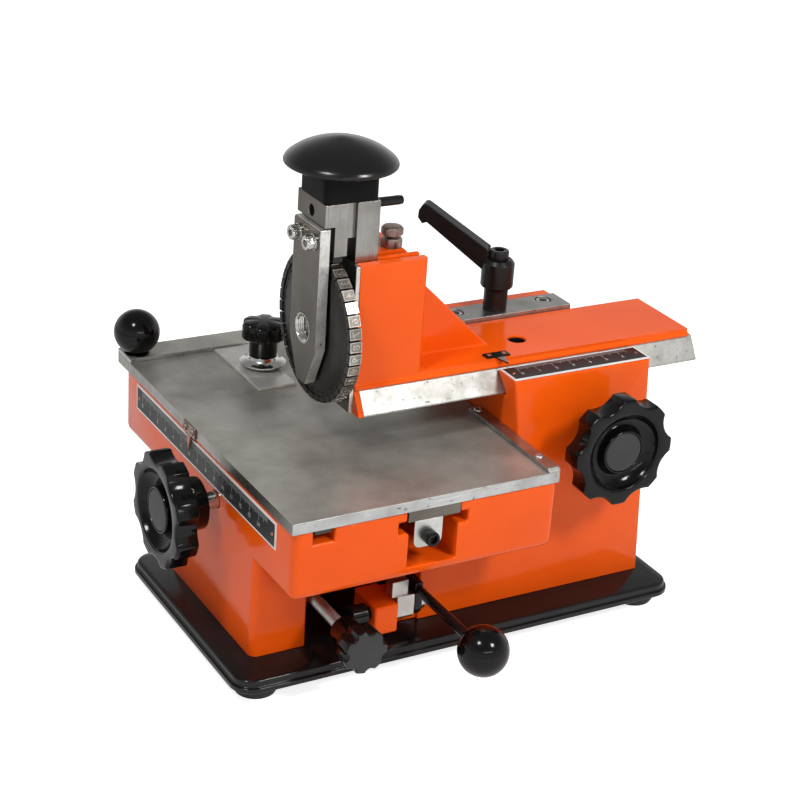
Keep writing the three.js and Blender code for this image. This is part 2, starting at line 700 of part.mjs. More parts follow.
const columnCuts = [
  armChannel,
  block(
    column.x0 - fit.cut, column.footX1, armRack.y0 - fit.teeth, armRack.y1 + fit.teeth,
    armRack.pitchZ - gear.module - fit.teeth, column.floorZ + fit.cut,
  ),
  block(
    rightFeed.x - rightTip, rightFeed.x + rightTip, armRack.y0 - fit.teeth, armRack.y1 + fit.teeth,
    rightFeed.z - rightTip, column.floorZ + fit.cut,
  ),
  rodY(
    shaft.radius + fit.turned, pedestal.y0 - fit.cut, rightPinion.y1 + rightFeed.tail, rightFeed.x, rightFeed.z,
  ),
  ...columnPockets,
];
const leftTip = leftFeed.pitchRadius + gear.module + fit.teeth;
const leftPinion = {
  x0: tableRack.x0 + leftFeed.faceInset, x1: tableRack.x1 - leftFeed.faceInset,
};
const leftFeedCuts = [
  block(
    leftPinion.x0 - fit.teeth, leftPinion.x1 + fit.teeth, leftFeed.y - leftTip, leftFeed.y + leftTip,
    leftFeed.z - leftTip, tableRackTip,
  ),
  rodX(shaft.radius + fit.turned, tray.x0 - fit.cut, leftPinion.x1 + leftFeed.tail, leftFeed.y, leftFeed.z),
];
const bossBodies = [
  prismY(
    polygon([
      [boss.x0, boss.z0 + boss.taper], [boss.x0 + boss.taper * boss.taperShare, boss.z0], [boss.x1, boss.z0],
      [boss.x1, boss.z1], [boss.x0, boss.z1],
    ]),
    boss.y0, walls.frontY1,
  ),
  block(boss.x0, boss.ribX1, boss.ribY0, walls.frontY1, 0, boss.ribZ),
];
const lugBody = block(
  pedestal.x1 - lug.root, stud.x + lug.side, lug.y0, lug.y1, stud.z - lug.half, stud.z + lug.half,
);
const frameCasting = piece(
  'Frame_Casting',
  carve(
    [
      carve([trayBody], [trayTop]), carve([pedestalBody], [pedestalTrim]), carve([columnBody], [columnTrim]),
      ledge, ...wallBodies, ...bossBodies, lugBody,
    ],
    [
      ...slotCuts, ...trayPockets, ...columnCuts, ...leftFeedCuts,
      rodX(handLever.pinRadius + fit.turned, boss.x0 - fit.cut, boss.x1 + fit.cut, handLever.y, handLever.z),
      rodY(stud.radius + fit.turned, lug.y0 - fit.cut, lug.y1 + fit.cut, stud.x, stud.z),
    ],
  ),
  orangeEnamel(),
);

// Scale strips on the tray's left side and on top of the column

const lineScaleTop = tray.z1 - scale.lineDrop;
const lineScale = piece(
  'Line_Scale',
  block(
    tray.x0 - scale.thick, tray.x0, tray.y0 + scale.lineInset, tray.y1 - scale.lineInset,
    lineScaleTop - scale.lineHeight, lineScaleTop,
  ),
  blackScale(),
);
const columnScale = piece(
  'Column_Scale',
  block(
    column.topX0 + scale.endInset, column.topX1 - scale.endInset, pedestal.y0 + scale.endInset,
    slab.lipY0 - scale.armGap, column.z1, column.z1 + scale.thick,
  ),
  blackScale(),
);

// Gib block that holds the arm's back edge, with two counterbored screws

const gibOutline = [
  [gib.y1, column.floorZ], [gib.y1, gib.z1], [gib.y0, gib.z1], [gib.y0, gib.noseZ],
  [backFlank(gib.noseZ) + arm.backGap, gib.noseZ], [backFlank(column.floorZ) + arm.backGap, column.floorZ],
];
const gibScrewPlaces = [
  ['Gib_Screw_Left', gib.x0 + gibScrew.inset],
  ['Gib_Screw_Right', gib.x1 - gibScrew.inset],
];
const gibScrewY = gib.y1 - gibScrew.fromBack;
const gibBlock = piece(
  'Gib_Block',
  carve(
    [prismX(polygon(gibOutline), gib.x0, gib.x1)],
    gibScrewPlaces.map(([, x]) => rodZ(
      gibScrew.counterRadius, gib.z1 - gibScrew.depth, gib.z1 + fit.cut, x, gibScrewY,
    )),
  ),
  groundSteel(),
);

function socketScrew(radius, height, socketFlats, socketDepth) {
  const body = turned(
    [[0, 0], [radius, 0], [radius, height - screw.chamfer], [radius - screw.chamfer, height], [0, height]],
    facets.screw,
  );
  return carve([body], [prismZ(hexShape(socketFlats), height - socketDepth, height + fit.cut)]);
}

const gibScrews = gibScrewPlaces.map(([name, x]) => {
  const head0 = socketScrew(
    gibScrew.radius, gibScrew.depth - fit.slide, gibScrew.socketFlats, gibScrew.socketDepth,
  );
  const mesh = piece(name, head0, brightSteel());
  mesh.position.set(x, gibScrewY, gib.z1 - gibScrew.depth);
  return mesh;
});

// Handwheels: lobed rim with a dished face, a hub behind and a cap in the middle

function handwheelGeometry(startsInValley) {
  const { edge } = handwheel;
  const outline = lobedShape(
    handwheel.lobes, handwheel.radius - edge, handwheel.valley - edge, handwheel.landDegrees, startsInValley,
  );
  const rim = prismZ(outline, edge - handwheel.rim, -edge, bevel(edge, 1));
  const hub = rod(handwheel.hubRadius, -handwheel.length, -handwheel.rim + fit.cut, facets.hub);
  const capEdge = handwheel.capRadius + handwheel.capRing;
  const dish = turned([
    [0, -handwheel.capSeat], [capEdge - fit.slide, -handwheel.capSeat], [capEdge, -handwheel.dishDepth],
    [handwheel.dishRadius - handwheel.dishSlope, -handwheel.dishDepth],
    [handwheel.dishRadius - edge, -handwheel.dishDepth / 2], [handwheel.dishRadius, 0],
    [handwheel.dishRadius, fit.cut], [0, fit.cut],
  ], facets.dish);
  const bore = rod(shaft.radius + fit.turned, -handwheel.length - fit.cut, -shaft.handEnd);
  return carve([rim, hub], [dish, bore]);
}

function handwheelSet(side, startsInValley) {
  const cap = rod(handwheel.capRadius, -handwheel.capSeat, -handwheel.capSeat + handwheel.capHeight, facets.cap);
  return [
    piece(`${side}_Handwheel`, handwheelGeometry(startsInValley), blackPlastic()),
    piece(`${side}_Handwheel_Cap`, cap, mattPlastic()),
  ];
}

// Pinion shaft about +Z of its group, with the hand end in the handwheel
function pinionShaft(side, feed, gearStart, gearEnd, spin) {
  const bar = rod(shaft.radius, -(gearEnd + feed.tail - shaft.endGap), -shaft.handEnd);
  const toothed = prismZ(pinionShape(feed), -gearEnd, -gearStart).rotateZ(spin);
  return piece(`${side}_Pinion_Shaft`, carve([bar, toothed]), brightSteel());
}

const leftFace = tray.x0 - shaft.wheelReach;
const leftDrive = group([
  ...handwheelSet('Left', true),
  pinionShaft('Left', leftFeed, leftPinion.x0 - leftFace, leftPinion.x1 - leftFace, -Math.PI / 2),
], leftFace, leftFeed.y, leftFeed.z);
leftDrive.rotation.set(0, -Math.PI / 2, 0);

const rightFace = pedestal.y0 - shaft.wheelReach;
const rightDrive = group([
  ...handwheelSet('Right', false),
  pinionShaft('Right', rightFeed, rightPinion.y0 - rightFace, rightPinion.y1 - rightFace, 0),
], rightFeed.x, rightFace, rightFeed.z);
rightDrive.rotation.set(Math.PI / 2, 0, 0);

// Work table: ground plate on a T-shaped keel, with its rack, rails, stop tab and pointer

const tablePlate = piece(
  'Table_Plate', block(table.x0, table.x1, table.y0, table.y1, table.z0, table.z1), groundSteel(),
);
const tableKeel = piece(
  'Table_Keel',
  block(
    slot.x - keel.half, slot.x + keel.half, table.y0 + keel.frontInset, table.y1 - keel.backInset,
    keel.z0, table.z0,
  ),
  groundSteel(),
);
const keelFoot = piece(
  'Table_Keel_Foot',
  block(
    slot.x - keel.footHalf, slot.x + keel.footHalf, table.y0 + keel.footFrontInset, table.y1 - keel.footBackInset,
    keel.footZ0, keel.z0,
  ),
  darkSteel(),
);
const rackOnTable = piece(
  'Table_Rack',
  prismX(
    rackShape(
      tableRack.y0, tableRack.y1, tableRack.y0 + tableRack.plainFront, tableRack.y1 - tableRack.plainBack,
      leftFeed.y, tableRack.pitchZ, table.z0,
    ),
    tableRack.x0, tableRack.x1,
  ),
  darkSteel(),
);
const tableBackRail = piece(
  'Table_Back_Rail', block(table.x0, table.x1, backRail.y0, table.y1, table.z1, backRail.z1), groundSteel(),
);
const tableFence = piece(
  'Table_Fence', block(table.x1 - fence.width, table.x1, table.y0, fence.y1, table.z1, fence.z1), brightSteel(),
);
const fenceScrewPlaces = [
  ['Fence_Screw_Front', table.y0 + fence.frontScrew],
  ['Fence_Screw_Back', fence.y1 - fence.backScrew],
];
const fenceScrews = fenceScrewPlaces.map(([name, y]) => {
  const mesh = piece(name, rod(fence.screwRadius, 0, fence.screwHeight, facets.screw), zincPlate());
  mesh.position.set(table.x1 - fence.width / 2, y, fence.z1);
  return mesh;
});
const tabOutline = new THREE.Shape();
tabOutline.moveTo(tab.x0, keel.z0);
tabOutline.lineTo(tab.x0, tab.z0 + tab.corner);
tabOutline.absarc(tab.x0 + tab.corner, tab.z0 + tab.corner, tab.corner, Math.PI, 1.5 * Math.PI, false);
tabOutline.lineTo(tab.x1 - tab.corner, tab.z0);
tabOutline.absarc(tab.x1 - tab.corner, tab.z0 + tab.corner, tab.corner, -Math.PI / 2, 0, false);
tabOutline.lineTo(tab.x1, keel.z0);
const stopTab = piece(
  'Stop_Tab',
  carve([
    prismY(tabOutline, tab.y0, tab.y0 + tab.thick),
    block(tab.x0, tab.x1, tab.y0, tab.y0 + tab.leg, keel.z0 - tab.thick, keel.z0),
  ]),
  zincPlate(),
);
const stopScrew = piece(
  'Stop_Screw', socketScrew(tabScrew.radius, tabScrew.head, tabScrew.socketFlats, tabScrew.socketDepth), blackEnamel(),
);
stopScrew.rotation.set(Math.PI / 2, 0, 0);
stopScrew.position.set(tab.x0 + tabScrew.along, tab.y0, tab.z0 + tabScrew.up);

const pointerAt = { y: table.y0 + linePointer.along, z: table.z0 + fit.rest };
const linePointerPiece = piece(
  'Line_Pointer',
  prismX(
    polygon([
      [pointerAt.y - linePointer.half, pointerAt.z], [pointerAt.y - linePointer.tipHalf, pointerAt.z],
      [pointerAt.y, pointerAt.z - linePointer.drop], [pointerAt.y + linePointer.tipHalf, pointerAt.z],
      [pointerAt.y + linePointer.half, pointerAt.z],
      [pointerAt.y + linePointer.half, pointerAt.z + linePointer.height],
      [pointerAt.y - linePointer.half, pointerAt.z + linePointer.height],
    ]),
    table.x0 - linePointer.thick, table.x0,
  ),
  zincPlate(),
);

// Clamp strip held down by a star knob, and the ball handle at the back left

const clampStripPiece = piece(
  'Clamp_Strip',
  block(
    clampStrip.x0, clampStrip.x0 + clampStrip.width, clampStrip.y1 - clampStrip.length, clampStrip.y1,
    table.z1, clampStrip.z1,
  ),
  brightSteel(),
);
const clampSeatProfile = clampKnob.seatShares.map(([r, h]) => [r * clampKnob.flareRadius, h * clampKnob.seatHeight]);
const clampSeat = piece(
  'Clamp_Seat', turned([[0, 0], ...clampSeatProfile, [0, clampKnob.seatHeight]]), brightSteel(),
);
const clampOutline = lobedShape(
  clampKnob.lobes, clampKnob.headRadius - clampKnob.edge, clampKnob.valley - clampKnob.edge, clampKnob.landDegrees,
);
const clampStar = piece(
  'Clamp_Star_Knob',
  carve([
    prismZ(
      clampOutline, clampKnob.neckTop, clampKnob.headTop - clampKnob.edge, bevel(clampKnob.edge, 2),
    ),
    rod(clampKnob.neckRadius, clampKnob.seatHeight, clampKnob.neckTop + fit.cut),
  ]),
  blackPlastic(),
);
const clampSet = group([clampSeat, clampStar], clampKnob.x, clampKnob.y, clampStrip.z1);

// Ball about +Z of its group, flat where it meets its base
function ball(radius, flat) {
  const start = Math.asin(flat / radius);
  const profile = [[0, -radius * Math.cos(start)]];
  for (let i = 0; i < facets.ballSteps; i += 1) {
    const angle = start + ((Math.PI - start) * i) / facets.ballSteps;
    profile.push([radius * Math.sin(angle), -radius * Math.cos(angle)]);
  }
  return turned([...profile, [0, radius]], facets.ball);
}

function ballRise(radius, flat) {
  return Math.sqrt(radius ** 2 - flat ** 2);
}

const handleTop = backRail.z1 + handle.baseHeight;
const handleBase = piece('Handle_Base', rod(handle.baseRadius, backRail.z1, handleTop), blackPlastic());
handleBase.position.set(handle.x, handle.y, 0);
const handleBall = piece('Handle_Ball', ball(handle.ballRadius, handle.ballFlat), blackPlastic());
handleBall.position.set(handle.x, handle.y, handleTop + ballRise(handle.ballRadius, handle.ballFlat));

const tableSet = group([
  tablePlate, tableKeel, keelFoot, rackOnTable, tableBackRail, tableFence, ...fenceScrews, stopTab, stopScrew,
  linePointerPiece, clampStripPiece, clampSet, handleBase, handleBall,
]);

// Arm: dovetail slide with a rack below, and the head casting on top

const armSection = [
  [arm.topY0, arm.z1], [arm.topY0 - arm.spread, arm.z0 + arm.lip], [arm.topY0 - arm.spread, arm.z0],
  [arm.topY1 + arm.spread, arm.z0], [arm.topY1 + arm.spread, arm.z0 + arm.lip], [arm.topY1, arm.z1],
].reverse();
const slabHoleAt = { x: slab.x0 + slabHole.along, y: arm.topY0 + slabHole.across };
const armSlide = piece(
  'Arm_Dovetail',
  carve(
    [prismX(polygon(armSection), arm.x0, arm.x1)],
    [
      block(
        arm.x0 - fit.cut, arm.x1 + fit.cut, armRack.y0 - fit.slide, armRack.y1 + fit.slide,
        arm.z0 - fit.cut, arm.grooveZ,
      ),
      rodZ(slabHole.radius, slab.z1 - slabHole.depth, arm.z1 + fit.cut, slabHoleAt.x, slabHoleAt.y),
    ],
  ),
  groundSteel(),
);
const rackOnArm = piece(
  'Arm_Rack',
  prismY(
    rackShape(
      armRack.x0, armRack.x1, armRack.x0 + armRack.plain, armRack.x1 - armRack.plain,
      rightFeed.x, armRack.pitchZ, arm.grooveZ,
    ),
    armRack.y0, armRack.y1,
  ),
  darkSteel(),
);
const slabBody = prismX(
  polygon([
    [slab.lipY0, arm.z1], [slab.y1, arm.z1], [slab.y1, slab.z1], [slab.y0, slab.z1],
    [slab.y0, arm.z1 + slab.stepHeight], [slab.lipY0, arm.z1 + slab.lipHeight],
  ]),
  slab.x0, slab.x1,
);
const armEnd = prismX(polygon(armSection), slab.x0, arm.x0);
const headRoot = arm.z1 + fit.cut;
const headBlock = prismZ(
  roundedRectangle(slab.x0, head.x1, slab.y0, head.y1, head.edge), headRoot, head.z1,
);
const headSquare = block(slab.x0, slab.x0 + 2 * head.edge, slab.y0, head.y1, headRoot, head.z1);
const gussetAt = { y: arm.topY0 + gusset.across, z: head.z1 - gusset.drop };
const gussetBody = prismY(
  polygon([
    [head.x1 - head.root, headRoot], [head.x1 + gusset.length, headRoot], [head.x1 + gusset.length, slab.z1],
    [head.x1, gussetAt.z], [head.x1 - head.root, gussetAt.z],
  ]),
  gussetAt.y, gussetAt.y + gusset.thick,
);
const filletIn = head.fillet * head.filletShare;
const footFillet = prismY(
  polygon([
    [head.x1 - head.fillet, headRoot], [head.x1 + head.fillet, headRoot], [head.x1 + head.fillet, slab.z1],
    [head.x1 + filletIn, slab.z1 + filletIn], [head.x1, slab.z1 + head.fillet],
    [head.x1 - head.fillet, slab.z1 + head.fillet],
  ]),
  slab.y0 + head.edge, head.y1 - head.edge,
);

function headGroove(y0, y1) {
  return block(head.pocketX1 - fit.cut, head.x1 + fit.cut, y0, y1, head.z1 - head.grooveDepth, head.z1 + fit.cut);
}

const stopAt = { x: head.x1 - stopBolt.fromEdge, y: plunger.y };
const headCasting = piece(
  'Head_Casting',
  carve(
    [slabBody, armEnd, headBlock, headSquare, gussetBody, footFillet],
    [
      block(
        slab.x0 - fit.cut, head.pocketX1, head.pocketY0, head.pocketY1, head.pocketZ, head.z1 + fit.cut,
      ),
      headGroove(head.pocketY0, head.pocketY0 + head.groove),
      headGroove(head.pocketY0 + head.groove + head.rib, head.rearY0),
      prismY(
        polygon([
          [head.x1 + fit.cut, head.z1 + fit.cut], [head.x1 - head.cornerCut, head.z1 + fit.cut],
          [head.x1 - head.cornerCut, head.z1], [head.x1, head.z1 - head.cornerCut],
          [head.x1 + fit.cut, head.z1 - head.cornerCut],
        ]),
        head.rearY0 - fit.cut, head.y1 + fit.cut,
      ),
      rodZ(slabHole.radius, arm.z1 - fit.cut, slab.z1 + fit.cut, slabHoleAt.x, slabHoleAt.y),
      rodZ(
        stopBolt.shankRadius + fit.turned, head.z1 - stopBolt.depth, head.z1 + fit.cut, stopAt.x, stopAt.y,
        facets.screw,
      ),
    ],
  ),
  orangeEnamel(),
);
const headSidePlate = piece(
  'Head_Side_Plate',
  carve(
    [block(sidePlate.x0, slab.x0, slab.y0, head.y1, arm.z0 + fit.slide, head.z1)],
    [block(
      sidePlate.x0 - fit.cut, slab.x0 + fit.cut, wheel.y - sidePlate.slotHalf, wheel.y + sidePlate.slotHalf,
      wheel.z - plunger.stroke - sidePlate.slotHalf - fit.slide, wheel.z + sidePlate.slotHalf + fit.slide,
    )],
  ),
  brightSteel(),
);
const arrowAt = { x: column.topX0 + columnPointer.aside, y: slab.y0 + columnPointer.inset };
const columnPointerPiece = piece(
  'Column_Pointer',
  prismZ(
    polygon([
      [arrowAt.x - columnPointer.half, arrowAt.y + columnPointer.depth], [arrowAt.x - columnPointer.half, arrowAt.y],
      [arrowAt.x - columnPointer.tipHalf, arrowAt.y], [arrowAt.x, slab.y0 - columnPointer.reach],
      [arrowAt.x + columnPointer.tipHalf, arrowAt.y], [arrowAt.x + columnPointer.half, arrowAt.y],
      [arrowAt.x + columnPointer.half, arrowAt.y + columnPointer.depth],
    ]),
    slab.z1, slab.z1 + columnPointer.thick,
  ),
  zincPlate(),
);
const pinZ = plunger.z1 - crossPin.drop;
const boltHeadZ = pinZ - crossPin.radius - plunger.stroke - fit.rest - stopBolt.head;
const stopNut = piece(
  'Stop_Bolt_Nut',
  carve(
    [prismZ(hexShape(stopBolt.nutFlats), 0, stopBolt.nut)],
    [rod(stopBolt.shankRadius + fit.turned, -fit.cut, stopBolt.nut + fit.cut, facets.screw)],
  ),
  darkSteel(),
);
stopNut.position.set(stopAt.x, stopAt.y, head.z1);
const stopBoltPiece = piece(
  'Stop_Bolt',
  carve([
    rod(stopBolt.shankRadius, head.z1 - stopBolt.depth, boltHeadZ + fit.cut, facets.screw),
    prismZ(hexShape(stopBolt.headFlats), boltHeadZ, boltHeadZ + stopBolt.head),
  ]),
  darkSteel(),
);
stopBoltPiece.position.set(stopAt.x, stopAt.y, 0);

// Plunger: square column with a guided tongue, carrying the wheel bracket and the press knob

const plungerColumn = piece(
  'Plunger_Column',
  carve(
    [prismY(
      polygon([
        [plunger.x0, plunger.z1], [plunger.x0, plunger.stepZ], [plunger.stepX, plunger.stepZ],
        [plunger.stepX, plunger.cheekZ], [plunger.slotX0, plunger.cheekZ], [plunger.slotX0, plunger.slotZ],
        [plunger.tongueX0, plunger.slotZ], [plunger.tongueX0, plunger.tongueZ], [plunger.x1, plunger.tongueZ],
        [plunger.x1, plunger.z1],
      ]),
      plunger.y0, plunger.y1,
    )],
    [
      block(
        plunger.slotX0, plunger.tongueX0, plunger.y0 - fit.cut, plunger.y0 + plunger.grooveDepth,
        plunger.slotZ - fit.cut, plunger.z1 + fit.cut,
      ),
      block(
        plunger.stepX - fit.cut, plunger.stepX + plunger.rabbetDepth,
        plunger.y0 - fit.cut, plunger.y0 + plunger.rabbetWidth, plunger.cheekZ - fit.cut, plunger.stepZ,
      ),
      rodX(axle.tailRadius + fit.turned, plunger.tongueX0 - fit.cut, plunger.x1 + fit.cut, wheel.y, wheel.z),
      rodX(
        crossPin.leftBore, plunger.x0 - fit.cut, plunger.slotX0 - crossPin.leftRib, plunger.y, pinZ, facets.screw,
      ),
      rodX(
        crossPin.radius + fit.turned, plunger.x1 - crossPin.seat, plunger.x1 + fit.cut, plunger.y, pinZ,
        facets.screw,
      ),
    ],
  ),
  brightSteel(),
);
const crossPinPiece = piece(
  'Cross_Pin',
  rodX(crossPin.radius, plunger.x1 - crossPin.seat, stopAt.x + crossPin.past, plunger.y, pinZ, facets.screw),
  blackEnamel(),
);
const bracketShoulderZ = wheel.z - bracket.shoulderDrop;
const bracketTipZ = wheel.z - bracket.tipDrop;
const wheelBracket = piece(
  'Wheel_Bracket',
  carve(
    [prismX(
      polygon([
        [bracket.y0, bracket.z1], [bracket.y0, bracketShoulderZ], [plunger.y - bracket.tipHalf, bracketTipZ],
        [plunger.y + bracket.tipHalf, bracketTipZ], [bracket.y1, bracketShoulderZ],
        [bracket.y1, bracket.z1 - bracket.corner], [bracket.y1 - bracket.corner, bracket.z1],
      ]),
      bracket.x0, plunger.stepX,
    )],
    [rodX(bracket.bore, bracket.x0 - fit.cut, plunger.stepX + fit.cut, wheel.y, wheel.z)],
  ),
  groundSteel(),
);
const bracketScrewPlaces = [
  ['Bracket_Screw_Front', bracket.y0 + bracketScrew.inset],
  ['Bracket_Screw_Back', bracket.y1 - bracketScrew.inset],
];
const bracketScrews = bracketScrewPlaces.map(([name, y]) => {
  const head0 = socketScrew(
    bracketScrew.radius, bracketScrew.head, bracketScrew.socketFlats, bracketScrew.socketDepth,
  );
  const mesh = piece(name, head0, brightSteel());
  mesh.rotation.set(0, -Math.PI / 2, 0);
  mesh.position.set(bracket.x0, y, bracket.z1 - bracketScrew.drop);
  return mesh;
});
const flangeX0 = plunger.stepX + fit.slide;
const wheelAxle = piece(
  'Wheel_Axle',
  carve(
    [
      rodX(bracket.bore - fit.turned, bracket.x0, flangeX0, wheel.y, wheel.z),
      rodX(axle.flangeRadius, plunger.stepX, wheel.x0 - fit.turned, wheel.y, wheel.z),
      rodX(axle.radius, flangeX0, wheel.hubX1 + axle.collar, wheel.y, wheel.z),
      rodX(axle.tailRadius, wheel.hubX1, plunger.x1, wheel.y, wheel.z),
    ],
    [rodX(axle.hollow, bracket.x0 - fit.cut, bracket.x0 + axle.hollowDepth, wheel.y, wheel.z)],
  ),
  brightSteel(),
);
const pawlY1 = plunger.y0 + pawl.reach;
const pawlZ = wheel.z + Math.sqrt(wheel.radius ** 2 - (wheel.y - pawlY1) ** 2) + pawl.gap;
const indexPawl = piece(
  'Index_Pawl',
  block(wheel.x0 + pawl.x0Inset, wheel.x1 - pawl.x1Inset, plunger.y0, pawlY1, pawlZ, plunger.cheekZ),
  blackEnamel(),
);
const knobBasePiece = piece(
  'Knob_Base',
  prismZ(
    roundedRectangle(-knobBase.half, knobBase.half, -knobBase.half, knobBase.half, knobBase.corner),
    0, knobBase.height,
  ),
  mattPlastic(),
);
const skirt = knob.skirtShares.map(([r, h]) => [r * knob.radius, h * knob.rimRise]);
const dome = knob.domeShares.map(([r, h]) => [r * knob.radius, knob.rimRise + h * knob.dome]);
const pressKnob = piece('Press_Knob', turned([[0, 0], ...skirt, ...dome], facets.knob), blackPlastic());
pressKnob.position.set(0, 0, knobBase.height);
const pressSet = group([knobBasePiece, pressKnob], plunger.x, plunger.y, plunger.z1);

// Type wheel: a disc whose rim carries one tile for each character

function typeWheelShape() {
  const points = [];
  const pitch = (2 * Math.PI) / wheel.places;
  const half = (pitch * wheel.tileShare) / 2;
  const edge = wheel.radius / Math.cos(half);
  const root = wheel.radius - wheel.rootDepth;
  for (let i = 0; i < wheel.places; i += 1) {
    const middle = Math.PI / 2 + i * pitch;
    points.push([root, middle - half * wheel.rootShare], [edge, middle - half]);
    points.push([edge, middle + half], [root, middle + half * wheel.rootShare]);
  }
  return polygon(points.map(([r, a]) => [r * Math.cos(a), r * Math.sin(a)]));
}

const typeWheel = piece(
  'Type_Wheel',
  carve(
    [
      prismZ(typeWheelShape(), 0, wheel.thick),
      rod(wheel.hubRadius, wheel.thick - fit.cut, wheel.thick + wheel.hubLength),
    ],
    [rod(axle.radius + fit.turned, -fit.cut, wheel.thick + wheel.hubLength + fit.cut)],
  ),
  darkSteel(),
);
typeWheel.rotation.set(Math.PI / 2, Math.PI / 2, 0);
typeWheel.position.set(wheel.x0, wheel.y, wheel.z);

const plungerSet = group([
  plungerColumn, crossPinPiece, wheelBracket, ...bracketScrews, wheelAxle, indexPawl, pressSet, typeWheel,
]);
const armSet = group([
  armSlide, rackOnArm, headCasting, headSidePlate, columnPointerPiece, stopNut, stopBoltPiece, plungerSet,
]);

// Clamping lever on the gib block

const leverTop = clampLever.bodyHeight + clampLever.hubHeight;
const leverBody = turned([
  [0, 0], [clampLever.bodyRadius, 0], [clampLever.bodyRadius, clampLever.bodyHeight],
  [clampLever.hubRadius, clampLever.bodyHeight + clampLever.chamfer],
  [clampLever.hubRadius, leverTop - clampLever.chamfer], [clampLever.neckRadius, leverTop], [0, leverTop],
]);
const leverArm = prismY(
  polygon(clampLever.outlineShares.map(([r, h]) => [r * clampLever.reach, h * clampLever.rootHeight])),
  -clampLever.width / 2, clampLever.width / 2,
).rotateY(-THREE.MathUtils.degToRad(clampLever.riseDegrees)).translate(0, 0, leverTop - clampLever.armDrop);
const leverTrim = rod(clampLever.neckRadius, leverTop, leverTop + clampLever.rootHeight);
const clampLeverPiece = piece('Clamp_Lever', carve([leverBody, leverArm], [leverTrim]), mattPlastic());
const clampLeverScrew = piece(
  'Clamp_Lever_Screw',
  socketScrew(leverScrew.radius, leverScrew.height, leverScrew.socketFlats, leverScrew.socketDepth),
  blackEnamel(),
);
clampLeverScrew.position.set(0, 0, leverTop);
const clampLeverSet = group([clampLeverPiece, clampLeverScrew], clampLever.x, clampLever.y, gib.z1);
clampLeverSet.rotation.set(0, 0, THREE.MathUtils.degToRad(clampLever.headingDegrees));

// Hand lever under the tray, on a cross pin through the boss and a zinc bearing

const bearingY = [handLever.y - bearing.front, handLever.y + bearing.back];
const bearingZ = [handLever.z - bearing.below, handLever.z + bearing.above];
const leverBearing = piece(
  'Lever_Bearing',
  carve(
    [
      prismX(
        polygon([
          [bearingY[0], bearingZ[1]], [bearingY[0], bearingZ[0] + bearing.round],
          [bearingY[0] + bearing.round, bearingZ[0]], [bearingY[1] - bearing.round, bearingZ[0]],
          [bearingY[1], bearingZ[0] + bearing.round], [bearingY[1], bearingZ[1]],
        ]),
        bearing.x0, bearing.x1,
      ),
      block(
        bearing.x0 - bearing.wingOut, bearing.x1 - bearing.wingIn,
        bearingY[0] + bearing.wingFront, bearingY[1] - bearing.wingBack,
        bearingZ[1] - fit.cut, bearingZ[1] + bearing.wingHeight,
      ),
    ],
    [rodX(
      handLever.pinRadius + fit.turned, bearing.x0 - fit.cut, bearing.x1 + fit.cut, handLever.y, handLever.z,
    )],
  ),
  zincPlate(),
);
const pinX0 = leverCollar.x0 + leverCollar.cap;
const leverHub = piece(
  'Lever_Hub',
  carve([
    rodX(handLever.hubRadius, handLever.hubX0, handLever.hubX1, handLever.y, handLever.z),
    block(
      handLever.hubX0, handLever.hubX1, handLever.y - handLever.hubRadius, handLever.y + handLever.armBack,
      handLever.z, handLever.z + handLever.armHeight,
    ),
    rodX(handLever.pinRadius, pinX0, handLever.hubX0 + fit.cut, handLever.y, handLever.z),
  ]),
  blackEnamel(),
);
const leverBolt = piece('Lever_Bolt', prismX(hexShape(handLever.boltFlats), 0, handLever.bolt), zincPlate());
leverBolt.position.set(handLever.hubX1, handLever.y, handLever.z);
const leverCollarPiece = piece(
  'Lever_Collar',
  carve(
    [rodX(leverCollar.radius, leverCollar.x0, leverCollar.x1, handLever.y, handLever.z)],
    [rodX(handLever.pinRadius + fit.turned, pinX0, leverCollar.x1 + fit.cut, handLever.y, handLever.z)],
  ),
  blackEnamel(),
);
const leverX = (handLever.hubX0 + handLever.hubX1) / 2;
const rodRootY = handLever.y - handLever.hubRadius;
const rodZ0 = handLever.z + handLever.rodRise;
const leverRod = piece(
  'Lever_Rod',
  rodY(handLever.rodRadius, rodRootY - handLever.rodLength, rodRootY, leverX, rodZ0, facets.screw),
  blackEnamel(),
);
const leverBall = piece('Lever_Ball', ball(handLever.ballRadius, handLever.ballFlat), blackPlastic());
leverBall.rotation.set(Math.PI / 2, 0, 0);
leverBall.position.set(
  leverX, rodRootY - handLever.rodLength - ballRise(handLever.ballRadius, handLever.ballFlat), rodZ0,
);

// Star knob on a stud under the tray's front

const frontStud = piece(
  'Front_Stud', rodY(stud.radius, studKnob.hubY, lug.y1 + stud.past, stud.x, stud.z, facets.screw), brightSteel(),
);
const frontOutline = lobedShape(
  studKnob.lobes, studKnob.radius - studKnob.edge, studKnob.valley - studKnob.edge, studKnob.landDegrees,
);
const frontStar = piece(
  'Front_Star_Knob',
  carve([
    prismZ(frontOutline, studKnob.edge, studKnob.headDepth - studKnob.edge, bevel(studKnob.edge, 1)),
    rod(studKnob.neckRadius, -studKnob.neck, fit.cut),
  ]),
  mattPlastic(),
);
frontStar.rotation.set(Math.PI / 2, 0, 0);
frontStar.position.set(stud.x, studKnob.neckY, stud.z);

// The whole machine, standing on its feet with the origin below its middle

const machine = group([
  basePan, ...feet, frameCasting, lineScale, columnScale, gibBlock, ...gibScrews, leverBearing,
  leftDrive, rightDrive, tableSet, armSet, clampLeverSet,
  group([leverHub, leverBolt, leverCollarPiece, leverRod, leverBall]),
  group([frontStud, frontStar]),
]);
machine.updateMatrixWorld(true);
const bounds = new THREE.Box3().setFromObject(machine, true);
const middle = bounds.getCenter(new THREE.Vector3());
const placed = (length) => -Math.round(length / placing.step) * placing.step;
machine.position.set(placed(middle.x), placed(middle.y), -foot.ground);

export default machine;
